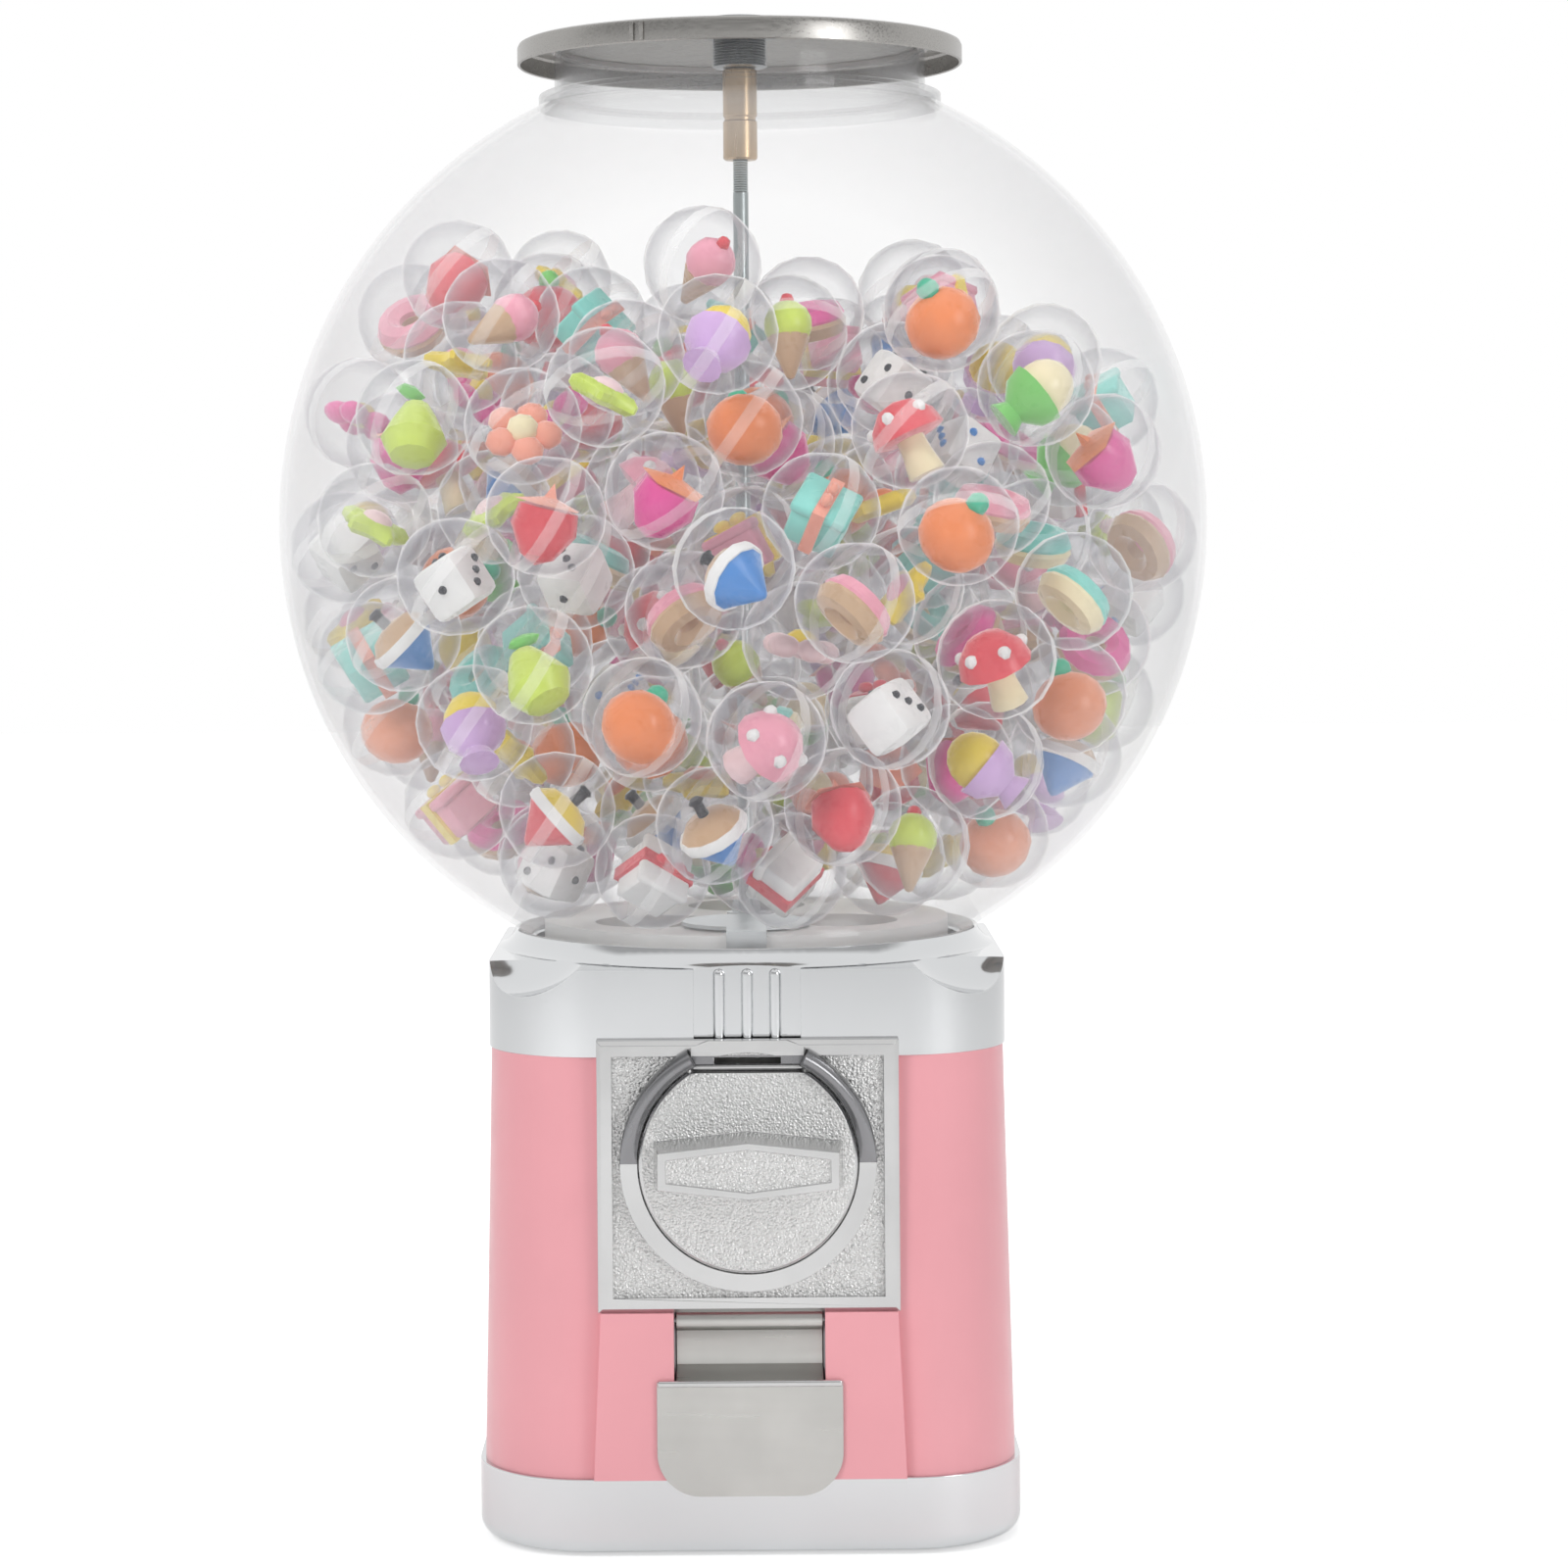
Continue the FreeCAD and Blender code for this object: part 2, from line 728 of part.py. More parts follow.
def make_lid():
    z_rim = z_lid_top - d.lid_rim
    sheet_in = lid_radius - d.lid_sheet
    hole = d.lock_radius + d.running_fit
    keep(spun("steel_lid", [
        (sheet_in, z_rim), (lid_radius, z_rim), (lid_radius, z_lid_top), (lid_step, z_lid_top),
        (d.lid_crown_radius, z_crown), (hole, z_crown), (hole, z_crown - d.lid_sheet),
        (d.lid_crown_radius, z_crown - d.lid_sheet), (lid_step, z_lid_under), (sheet_in, z_lid_under),
    ]), "lid_cover")
    bore = d.core_radius + d.running_fit
    z_lock_top = z_crown + d.lock_flange
    z_well = z_lock_top - d.core_depth
    stem_bore = d.core_stem_radius + d.loose_fit
    keep(spun("lock_body", [
        (stem_bore, z_lock_foot), (d.lock_radius, z_lock_foot), (d.lock_radius, z_crown),
        (d.lock_flange_radius, z_crown), (d.lock_flange_radius, z_lock_top), (bore, z_lock_top),
        (bore, z_well), (stem_bore, z_well),
    ]), "lock_barrel")
    plug = rod("lock_plug", d.core_radius, d.core_depth - d.seat_gap, ZERO, ZERO, z_well + d.seat_gap)
    stem_low = z_lock_foot - d.core_stem
    stem = rod("lock_stem", d.core_stem_radius, z_well + d.seat_gap - stem_low, ZERO, ZERO, stem_low)
    key = block(
        "key_way", -d.key_width / 2.0, d.key_width / 2.0, -d.core_radius * 0.7, d.core_radius * 0.7,
        z_lock_top - d.key_depth, z_lock_top + d.key_depth,
    )
    keep(cut("lock_turning", fuse("lock_spindle", plug, stem), key), "lock_core")
    z_nut_top = z_crown - d.lid_sheet
    nut = hexagon("lock_nut_hex", d.lock_nut_radius * 2.0, d.lock_nut_height, z_nut_top - d.lock_nut_height)
    nut_bore = rod(
        "lock_nut_bore", d.lock_radius + d.running_fit, d.lock_nut_height, ZERO, ZERO,
        z_nut_top - d.lock_nut_height,
    )
    keep(cut("lock_ring_nut", nut, nut_bore), "lock_nut")


def make_rod():
    z_sleeve_top = z_lock_foot - d.seat_gap
    z_sleeve = z_sleeve_top - d.sleeve_length
    z_rod_top = z_sleeve + d.sleeve_grip
    stem_bore = d.core_stem_radius + d.loose_fit
    grip_bore = d.rod_radius + d.running_fit / 2.0
    keep(spun("brass_sleeve", [
        (grip_bore, z_sleeve), (d.sleeve_radius, z_sleeve), (d.sleeve_radius, z_sleeve_top),
        (stem_bore, z_sleeve_top), (stem_bore, z_rod_top), (grip_bore, z_rod_top),
    ]), "rod_sleeve")
    z_tail = d.floor_rise - d.rod_tail
    keep(rod("long_rod", d.rod_radius, z_rod_top - z_tail, ZERO, ZERO, z_tail), "centre_rod")
    bore = d.rod_radius + d.running_fit / 2.0
    z_bush_top = z_wheel_top + d.body_gap
    washer_lows = (z_floor, z_bush_top)
    nut_lows = (d.floor_rise - d.nut_height, z_floor + d.washer_thick, z_bush_top + d.washer_thick)
    washers = [tube("washer", bore, d.washer_radius, low, low + d.washer_thick) for low in washer_lows]
    nuts = []
    for low in nut_lows:
        hole = rod("nut_bore", bore, d.nut_height, ZERO, ZERO, low)
        nuts.append(cut("nut", hexagon("nut_hex", d.nut_across, d.nut_height, low), hole))
    keep(group("washers", washers), "rod_washers")
    keep(group("nuts", nuts), "rod_nuts")
    keep(tube("wheel_sleeve", bore, d.bush_radius, z_platform, z_bush_top), "wheel_bush")


def make_hopper():
    inner = d.platform_radius
    wall_out = d.channel_radius + d.channel_wall
    z_top = z_body_top + d.flange_thick
    bore = d.rod_radius + d.loose_fit
    bowl = spun("hopper_bowl", [
        (bore, z_platform - d.platform_thick), (inner - d.platform_thick, z_platform - d.platform_thick),
        (inner - d.platform_thick, z_channel - d.channel_floor), (wall_out, z_channel - d.channel_floor),
        (wall_out, z_top), (d.channel_radius, z_top), (d.channel_radius, z_channel), (inner, z_channel),
        (inner, z_platform), (bore, z_platform),
    ])
    inset = d.cap_wall - d.cap_rebate + d.seat_gap
    flange = square_prism("hopper_flange", d.cap_half - inset, d.cap_corner - inset, z_body_top, z_top)
    eye = rod("hopper_eye", d.channel_radius, d.flange_thick, ZERO, ZERO, z_body_top)
    ring = cut("hopper_ring", flange, eye)
    drop = rod("drop_hole", d.pocket_radius + d.body_gap, d.channel_depth * 2.0, ZERO, -d.pocket_pitch,
               z_channel - d.channel_floor)
    slot = block(
        "pinion_slot", -d.pinion_slot_half, d.pinion_slot_half, -wall_out - d.channel_wall,
        -(inner + d.channel_floor), z_channel - d.channel_floor * 2.0, z_channel + d.tooth_fall,
    )
    radius = d.small_screw_radius + d.loose_fit
    screw_holes = [
        rod("guard_hole", radius, d.flange_thick * 2.0, x, y_guard_screw(), z_body_top)
        for x in guard_screw_places()
    ]
    keep(cut("hopper", fuse("hopper_mass", bowl, ring), fuse("hopper_cuts", drop, slot, *screw_holes)),
         "hopper_plate")


def y_guard_screw():
    return -(d.channel_radius + d.channel_wall + d.guard_foot / 2.0)


def guard_screw_places():
    return (-d.guard_leg_half / 2.0, d.guard_leg_half / 2.0)


def pocket_centres():
    for i in range(POCKETS):
        angle = math.radians(90.0 + 360.0 * i / POCKETS)
        yield d.pocket_pitch * math.cos(angle), d.pocket_pitch * math.sin(angle)


def make_wheel():
    wheel = new_body("capsule_wheel")
    disc = sketch_on(wheel, "XY_Plane")
    circle(disc, ZERO, ZERO, d.wheel_radius)
    circle(disc, ZERO, ZERO, d.bush_radius + d.running_fit)
    for x, y in pocket_centres():
        circle(disc, x, y, d.pocket_radius)
    pad(wheel, disc, d.wheel_height)
    under = sketch_on(wheel, "XY_Plane", d.wheel_height - d.wheel_top)
    circle(under, ZERO, ZERO, d.wheel_radius - d.wheel_skin)
    circle(under, ZERO, ZERO, d.hub_radius)
    for x, y in pocket_centres():
        circle(under, x, y, d.pocket_radius + d.pocket_wall)
    pocket(wheel, under, d.wheel_height - d.wheel_top)
    keep(place(wheel, ZERO, ZERO, z_wheel), "dispensing_wheel")

    gear = new_body("ring_gear")
    ring = sketch_on(gear, "XY_Plane", z_crown_root)
    circle(ring, ZERO, ZERO, d.wheel_radius)
    circle(ring, ZERO, ZERO, d.crown_inner)
    pad(gear, ring, d.crown_ring)
    tooth = sketch_on(gear, "XZ_Plane", d.crown_inner + d.body_gap)
    tip, base = d.tooth_tip / 2.0, d.tooth_root / 2.0
    z_tip = z_pitch - d.tooth_rise
    outline(tooth, [(-tip, z_tip), (tip, z_tip), (base, z_crown_root), (-base, z_crown_root)])
    rib = pad(gear, tooth, d.wheel_radius - d.crown_inner - d.body_gap * 2.0)
    ring_of_teeth = gear.newObject("PartDesign::PolarPattern", "crown_teeth")
    ring_of_teeth.Originals = [rib]
    ring_of_teeth.Axis = (origin_feature(gear, "Z_Axis"), [""])
    ring_of_teeth.Angle = 360.0
    ring_of_teeth.Occurrences = CROWN_TEETH
    gear.Tip = ring_of_teeth
    gear.Placement = FreeCAD.Placement(Vector(0, 0, 0), FreeCAD.Rotation(Vector(0, 0, 1), 180.0 / CROWN_TEETH))
    keep(gear, "crown_gear")


def make_guard():
    over = rod("guard_disc", d.guard_radius, d.guard_thick, ZERO, -d.pocket_pitch, z_guard)
    y_leg = -(d.wheel_radius + d.body_gap * 2.0)
    y_leg_out = y_leg - d.guard_thick
    half = d.guard_leg_half
    z_foot = z_body_top + d.flange_thick
    arm = block("guard_arm", -half, half, y_leg_out, -d.pocket_pitch, z_guard, z_guard_top)
    leg = block("guard_leg", -half, half, y_leg_out, y_leg, z_foot, z_guard_top)
    y_toe = -(d.channel_radius + d.channel_wall + d.guard_foot)
    toe = block("guard_toe", -half, half, y_toe, y_leg, z_foot, z_foot + d.guard_thick)
    holes = [
        rod("toe_hole", d.small_screw_radius + d.loose_fit, d.guard_thick, x, y_guard_screw(), z_foot)
        for x in guard_screw_places()
    ]
    keep(cut("guard", fuse("guard_mass", over, arm, leg, toe), fuse("guard_holes", *holes)), "drop_guard")
    screws = []
    for x in guard_screw_places():
        y = y_guard_screw()
        z_head = z_foot + d.guard_thick
        head = rod("guard_head", d.small_head_radius * 0.6, d.small_head_height, x, y, z_head)
        shank_length = d.guard_thick + d.flange_thick + d.small_head_height
        shank = rod("guard_shank", d.small_screw_radius, shank_length, x, y, z_head - shank_length)
        screws.append(fuse("guard_screw", head, shank))
    keep(group("guard_fasteners", screws), "guard_screws")


def make_coin_plate():
    plate = new_body("cast_plate")
    face = sketch_on(plate, "XZ_Plane")
    rectangle(face, -d.plate_half, d.plate_half, -d.plate_below, d.plate_above)
    slab = pad(plate, face, d.plate_thick)
    front = -SIZES["plate_thick"] + 0.01
    soften(plate, "Chamfer", slab, d.plate_bevel, lambda box: box.YMax < front)
    panel = sketch_on(plate, "XZ_Plane", d.plate_thick)
    inset = d.plate_frame
    rectangle(panel, inset - d.plate_half, d.plate_half - inset, inset - d.plate_below, d.plate_above - inset)
    pocket(plate, panel, d.panel_depth)
    panel_plane = d.plate_thick - d.panel_depth
    ring = sketch_on(plate, "XZ_Plane", panel_plane - d.panel_depth)
    circle(ring, ZERO, ZERO, ring_outer)
    circle(ring, ZERO, ZERO, ring_inner)
    pad(plate, ring, d.panel_depth + d.ring_height)
    horns = sketch_on(plate, "XZ_Plane", panel_plane)
    gap = d.horn_gap_half
    outer_top = sphere_height(ring_outer, gap)
    inner_top = sphere_height(ring_inner, gap)
    for side in (-1, 1):
        bulge = -side
        outline(horns, [
            (ring_outer * side, ZERO), (gap * side, outer_top), (gap * side, inner_top),
            (ring_inner * side, ZERO),
        ], {0: (ring_outer, bulge), 2: (ring_inner, -bulge)})
    pad(plate, horns, d.horn_height)
    slope = sketch_on(plate, "YZ_Plane", d.plate_half)
    low_plane = -(panel_plane + d.ring_height)
    high_plane = -(panel_plane + d.horn_height)
    outline(slope, [
        (low_plane, ZERO), (high_plane - d.ring_height, ZERO), (high_plane - d.ring_height, ring_outer),
        (high_plane, ring_outer),
    ])
    pocket(plate, slope, d.plate_half * 2.0)
    z_slot = knob_flat + d.slot_height
    recess = sketch_on(plate, "XZ_Plane", panel_plane + d.ring_height)
    rectangle(recess, -gap, gap, knob_flat, d.plate_above - d.plate_frame)
    pocket(plate, recess, d.ring_height + d.slot_recess)
    slot = sketch_on(plate, "XZ_Plane", panel_plane)
    rectangle(slot, -d.slot_half, d.slot_half, z_slot, z_slot + d.slot_height)
    circle(slot, ZERO, ZERO, d.shaft_radius + d.running_fit)
    for x in (-1, 1):
        for z in (-d.frame_screw_z, d.frame_screw_z):
            circle(slot, d.frame_screw_x * x, z - d.frame_screw_z, d.small_screw_radius + d.running_fit)
    pocket(plate, slot, panel_plane)
    place(plate, ZERO, y_seat, z_shaft)
    y_far = y_seat - d.plate_thick * 4.0
    crest = block(
        "ring_crest", -ring_outer, ring_outer, y_far, y_seat, z_plate_high, z_plate_high + ring_outer
    )
    shelf = block(
        "slot_shelf", -gap, gap, y_far, y_seat - d.plate_thick, z_plate_high - d.plate_frame, z_plate_high
    )
    sweep = rod(
        "knob_sweep", d.knob_radius + d.ring_clear / 2.0, d.plate_thick * 4.0 - panel_plane,
        ZERO, y_far, z_shaft, "y",
    )
    keep(cut("coin_casting", plate, fuse("ring_trims", crest, shelf, sweep)), "coin_plate")

    studs, nuts = [], []
    for x in (-1, 1):
        for z in (-d.stud_low, d.stud_high):
            at = (d.stud_x * x, z_shaft + z)
            studs.append(rod("stud", d.stud_radius, d.stud_length, at[0], y_seat, at[1], "y"))
            y_nut = y_seat + d.pad_thick
            ring_nut = rod("stud_nut", d.stud_radius * 2.0, d.stud_radius * 1.6, at[0], y_nut, at[1], "y")
            bore = d.stud_radius + d.running_fit / 2.0
            hole = rod("stud_bore", bore, d.stud_radius * 2.0, at[0], y_nut, at[1], "y")
            nuts.append(cut("plate_nut", ring_nut, hole))
    keep(group("studs", studs), "plate_studs")
    keep(group("stud_nuts", nuts), "plate_nuts")


def make_knob():
    knob = new_body("turn_knob")
    face = sketch_on(knob, "XZ_Plane")
    circle(face, ZERO, ZERO, d.knob_radius)
    disc = pad(knob, face, d.knob_thick)
    front = -SIZES["knob_thick"] + 0.01
    soften(knob, "Chamfer", disc, d.knob_bevel, lambda box: box.YMax < front)
    flat = sketch_on(knob, "XZ_Plane", d.knob_thick)
    rectangle(flat, -d.knob_radius, d.knob_radius, knob_flat, d.knob_radius * 1.1)
    pocket(knob, flat, d.knob_thick)
    end, mid, half = d.handle_end, d.handle_mid, d.knob_radius - d.handle_inset
    bar = sketch_on(knob, "XZ_Plane", d.knob_thick / 2.0)
    outline(bar, [(half, -end), (half, end), (ZERO, mid), (-half, end), (-half, -end), (ZERO, -mid)])
    pad(knob, bar, d.handle_height, -d.handle_draft)
    tip_plane = d.knob_thick / 2.0 + d.handle_height
    dish = sketch_on(knob, "XZ_Plane", tip_plane)
    shrink = d.handle_height * math.tan(math.radians(SIZES["handle_draft"])) + d.handle_border
    long_in, end_in, mid_in = half - shrink * 1.1, end - shrink, mid - shrink
    outline(dish, [
        (long_in, -end_in), (long_in, end_in), (ZERO, mid_in), (-long_in, end_in), (-long_in, -end_in),
        (ZERO, -mid_in),
    ])
    pocket(knob, dish, d.handle_dish)
    bore = sketch_on(knob, "XZ_Plane", d.knob_thick)
    circle(bore, ZERO, ZERO, d.shaft_radius + d.running_fit / 2.0)
    pocket(knob, bore, d.knob_thick)
    keep(place(knob, ZERO, y_knob, z_shaft), "coin_knob")


def make_mechanism():
    y_back = y_seat + d.frame_back
    y_shaft_front = y_knob - d.knob_thick
    y_shaft_back = y_back + d.frame_sheet + d.clip_thick * 2.0
    keep(rod("drive_shaft", d.shaft_radius, y_shaft_back - y_shaft_front, ZERO, y_shaft_front, z_shaft, "y"),
         "knob_shaft")

    carrier = new_body("coin_disc")
    face = sketch_on(carrier, "XZ_Plane")
    circle(face, ZERO, ZERO, d.carrier_radius)
    circle(face, ZERO, ZERO, d.shaft_radius + d.running_fit / 2.0)
    pad(carrier, face, d.carrier_thick)
    notch = sketch_on(carrier, "XZ_Plane", d.carrier_thick)
    circle(notch, ZERO, d.carrier_radius, d.coin_radius)
    pocket(carrier, notch, d.carrier_thick)
    y_carrier = y_seat + d.carrier_gap + d.carrier_thick
    keep(place(carrier, ZERO, y_carrier, z_shaft), "coin_carrier")

    ratchet = new_body("ratchet_disc")
    teeth = sketch_on(ratchet, "XZ_Plane")
    points = []
    for i in range(RATCHET_TEETH):
        for radius, turn in ((d.ratchet_radius, i), (d.ratchet_radius - d.ratchet_step, i + 0.02)):
            angle = 2.0 * math.pi * turn / RATCHET_TEETH
            points.append((radius * math.cos(angle), radius * math.sin(angle)))
    outline(teeth, points)
    circle(teeth, ZERO, ZERO, d.shaft_radius + d.running_fit / 2.0)
    pad(ratchet, teeth, d.ratchet_thick)
    y_ratchet = y_carrier + d.ratchet_gap + d.ratchet_thick
    keep(place(ratchet, ZERO, y_ratchet, z_shaft), "ratchet_wheel")

    pinion = new_body("pinion_gear")
    teeth = sketch_on(pinion, "XZ_Plane")
    root_radius = d.pinion_pitch - d.tooth_fall
    tip_radius = d.pinion_pitch + d.tooth_rise
    points = []
    for i in range(PINION_TEETH):
        angle = math.pi / 2.0 + 2.0 * math.pi * i / PINION_TEETH
        for radius, width in (
            (root_radius, -d.tooth_root), (d.pinion_pitch, -d.tooth_pitch_width), (tip_radius, -d.tooth_tip),
            (tip_radius, d.tooth_tip), (d.pinion_pitch, d.tooth_pitch_width), (root_radius, d.tooth_root),
        ):
            across = width / 2.0
            points.append((
                radius * math.cos(angle) - across * math.sin(angle),
                radius * math.sin(angle) + across * math.cos(angle),
            ))
    outline(teeth, points)
    circle(teeth, ZERO, ZERO, d.shaft_radius + d.running_fit / 2.0)
    pad(pinion, teeth, d.pinion_face)
    keep(place(pinion, ZERO, y_crown + d.pinion_face / 2.0, z_shaft), "drive_pinion")

    half, sheet_thick = d.frame_half, d.frame_sheet
    z_low, z_high = z_shaft - d.frame_low, z_shaft + d.frame_high
    back = block("frame_back_wall", -half, half, y_back, y_back + sheet_thick, z_low, z_high)
    walls = [back]
    for side in (-1, 1):
        inner, outer = half * side, (half - sheet_thick) * side
        lug = (half + d.frame_flange) * side
        sides = sorted_pair(inner, outer)
        walls.append(block("frame_cheek", *sides, y_seat, y_back + sheet_thick, z_low, z_high))
        walls.append(block("frame_lug", *sorted_pair(inner, lug), y_seat, y_seat + sheet_thick, z_low, z_high))
    bush_seat = d.shaft_bush_radius + d.running_fit / 2.0
    holes = [rod("frame_bore", bush_seat, sheet_thick, ZERO, y_back, z_shaft, "y")]
    screws = []
    for x in (-1, 1):
        for z in (-d.frame_screw_z, d.frame_screw_z):
            at = (d.frame_screw_x * x, z_shaft + z - d.frame_screw_z)
            radius = d.small_screw_radius + d.loose_fit
            holes.append(rod("frame_hole", radius, sheet_thick, at[0], y_seat, at[1], "y"))
            y_head = y_seat + sheet_thick
            head = rod("frame_head", d.small_head_radius, d.small_head_height, at[0], y_head, at[1], "y")
            reach = sheet_thick + d.panel_depth
            shank = rod("frame_shank", d.small_screw_radius, reach, at[0], y_head - reach, at[1], "y")
            screws.append(fuse("frame_screw", head, shank))
    keep(cut("mechanism_frame", fuse("frame_walls", *walls), fuse("frame_holes", *holes)), "mech_frame")
    keep(group("frame_fasteners", screws), "frame_screws")

    bush_out = rod("bush_sleeve", d.shaft_bush_radius, sheet_thick, ZERO, y_back, z_shaft, "y")
    y_flange = y_back - d.clip_thick
    bush_head = rod("bush_flange", d.shaft_bush_head, d.clip_thick, ZERO, y_flange, z_shaft, "y")
    bore = d.shaft_radius + d.running_fit
    bush_bore = rod("bush_hole", bore, sheet_thick * 2.0, ZERO, y_flange, z_shaft, "y")
    keep(cut("shaft_sleeve", fuse("bush_mass", bush_out, bush_head), bush_bore), "shaft_bush")
    y_clip = y_back + sheet_thick + d.seat_gap / 2.0
    clip_disc = rod("clip_disc", d.clip_radius, d.clip_thick, ZERO, y_clip, z_shaft, "y")
    grip = d.shaft_radius + d.running_fit / 2.0
    clip_bore = rod("clip_bore", grip, d.clip_thick, ZERO, y_clip, z_shaft, "y")
    keep(cut("retaining_clip", clip_disc, clip_bore), "shaft_clip")

    y_pawl = y_ratchet - d.ratchet_thick / 2.0 - d.pawl_width / 2.0
    tip = d.ratchet_radius - d.ratchet_step + d.seat_gap
    z_pawl = z_shaft + d.pawl_thick
    keep(block(
        "spring_pawl", tip, half - sheet_thick, y_pawl, y_pawl + d.pawl_width, z_pawl, z_pawl + d.pawl_thick
    ), "pawl_spring")


def sorted_pair(one, two):
    return (one, two) if one.value < two.value else (two, one)


def make_flap():
    sheet_thick = d.flap_sheet
    y_face = -(d.surround_front + d.flap_gap)
    z_fold = z_hinge - d.fold_drop
    z_low = d.base_height - d.flap_overlap
    flap = new_body("steel_flap")
    door = sketch_on(flap, "XZ_Plane", -y_face)
    half, corner = flap_half, d.flap_corner
    outline(door, [
        (corner - half, z_low), (half - corner, z_low), (half, z_low + corner), (half, z_fold),
        (-half, z_fold), (-half, z_low + corner),
    ], {1: (corner, -1), 5: (corner, -1)})
    pad(flap, door, sheet_thick)
    tongue = sketch_on(flap, "YZ_Plane", -tongue_half)
    z_valley = z_hinge - d.tongue_length
    y_valley = y_hinge + d.tongue_set_back
    y_top = y_hinge - d.barrel_radius * 0.6
    z_top = z_hinge - d.barrel_radius * 0.5
    y_out = y_face - sheet_thick
    outline(tongue, [
        (y_out, z_fold - sheet_thick), (y_out, z_fold), (y_valley - sheet_thick * 2.0, z_valley),
        (y_top, z_top), (y_top + sheet_thick, z_top), (y_valley, z_valley - sheet_thick),
        (y_face, z_fold - sheet_thick * 1.6),
    ], {2: (d.tongue_length * 1.4, -1), 4: (d.tongue_length * 1.4, 1)})
    pad(flap, tongue, tongue_half * 2.0)
    barrel = sketch_on(flap, "YZ_Plane", -tongue_half)
    circle(barrel, y_hinge, z_hinge, d.barrel_radius)
    pad(flap, barrel, tongue_half * 2.0)
    bore = sketch_on(flap, "YZ_Plane", tongue_half)
    circle(bore, y_hinge, z_hinge, d.flap_pin_radius + d.running_fit)
    pocket(flap, bore, tongue_half * 2.0)
    keep(flap, "flap_door")
    reach = d.chute_half + d.chute_wall
    keep(rod("hinge_pin", d.flap_pin_radius, reach * 2.0, -reach, y_hinge, z_hinge, "x"), "flap_pin")


def make_chute():
    half, wall = d.chute_half, d.chute_wall
    y_near, y_far = -d.chute_back, -d.chute_front
    y_front_wall = -(d.pocket_pitch + d.pocket_radius + d.body_gap + wall)
    z_top = z_channel - d.channel_floor
    z_knee = z_sill + d.chute_knee
    z_roof = z_plate_low - d.seat_gap
    z_lip = z_sill + d.flap_gap + wall
    y_lip = -(d.surround_front - d.flap_gap)
    chute = new_body("prize_channel")
    cheeks = sketch_on(chute, "YZ_Plane", -(half + wall))
    outline(cheeks, [
        (y_far, z_lip - wall), (y_near, z_knee - wall), (y_near, z_top), (y_front_wall, z_top),
        (y_front_wall, z_roof), (y_far, z_roof),
    ])
    pad(chute, cheeks, (half + wall) * 2.0)
    hollow = sketch_on(chute, "YZ_Plane", half)
    outline(hollow, [
        (y_far - wall, z_lip), (y_far, z_lip), (y_near - wall, z_knee), (y_near - wall, z_top + wall),
        (y_front_wall + wall, z_top + wall), (y_front_wall + wall, z_roof - wall),
        (y_far + wall * 5.0, z_roof - wall), (y_far + wall * 5.0, z_roof + wall),
        (y_far - wall, z_roof + wall),
    ])
    pocket(chute, hollow, half * 2.0)
    lip = sketch_on(chute, "YZ_Plane", -(half - d.flap_gap))
    outline(lip, [(y_lip, z_lip - wall), (y_far, z_lip - wall), (y_far, z_lip), (y_lip, z_lip)])
    pad(chute, lip, (half - d.flap_gap) * 2.0)
    bore = sketch_on(chute, "YZ_Plane", half + wall)
    circle(bore, y_hinge, z_hinge, d.flap_pin_radius + d.running_fit / 2.0)
    pocket(chute, bore, (half + wall) * 2.0)
    keep(chute, "prize_chute")


def make_coin_way():
    z_high = z_shaft - d.frame_low - d.seat_gap
    z_out = z_high - d.slide_fall
    y0, y1 = y_seat + d.pad_thick + d.seat_gap, y_seat + d.frame_back
    left, right = -d.frame_half, coin_box_near + d.slide_rise
    slide = new_body("coin_channel")
    floor = sketch_on(slide, "XZ_Plane", -y1)
    thick = d.slide_thick
    outline(floor, [
        (left, z_high - thick), (right, z_out - thick), (right, z_out), (left + thick, z_high - thick),
        (left + thick, z_high), (left, z_high),
    ])
    pad(slide, floor, y1 - y0)
    lips = sketch_on(slide, "XZ_Plane", -y1)
    outline(lips, [
        (left, z_high - thick), (right, z_out - thick), (right, z_out + d.slide_lip), (left, z_high),
    ])
    pad(slide, lips, thick)
    keep(slide, "coin_slide")
    wall = d.coin_box_wall
    x0, x1 = coin_box_near, d.coin_box_far
    front, back = -d.coin_box_front, d.coin_box_back
    outer = block("coin_box_outer", x0, x1, front, back, z_floor, z_floor + d.coin_box_height)
    inner = block(
        "coin_box_inner", x0 + wall, x1 - wall, front + wall, back - wall, z_floor + wall,
        z_floor + d.coin_box_height + wall,
    )
    keep(cut("cash_box", outer, inner), "coin_box")


def drop_height(x, y, near, pack, reach, z_rest, z_centre, clear):
    """Lowest centre height at which a capsule let down at x, y comes to rest."""
    across = math.hypot(x, y)
    if across > reach or across < clear:
        return math.inf
    height = max(z_rest, z_centre - math.sqrt(reach ** 2 - across ** 2))
    for px, py, pz in near:
        gap = pack ** 2 - (x - px) ** 2 - (y - py) ** 2
        if gap > 0.0:
            height = max(height, pz + math.sqrt(gap))
    if height > z_centre + math.sqrt(reach ** 2 - across ** 2):
        return math.inf
    return height


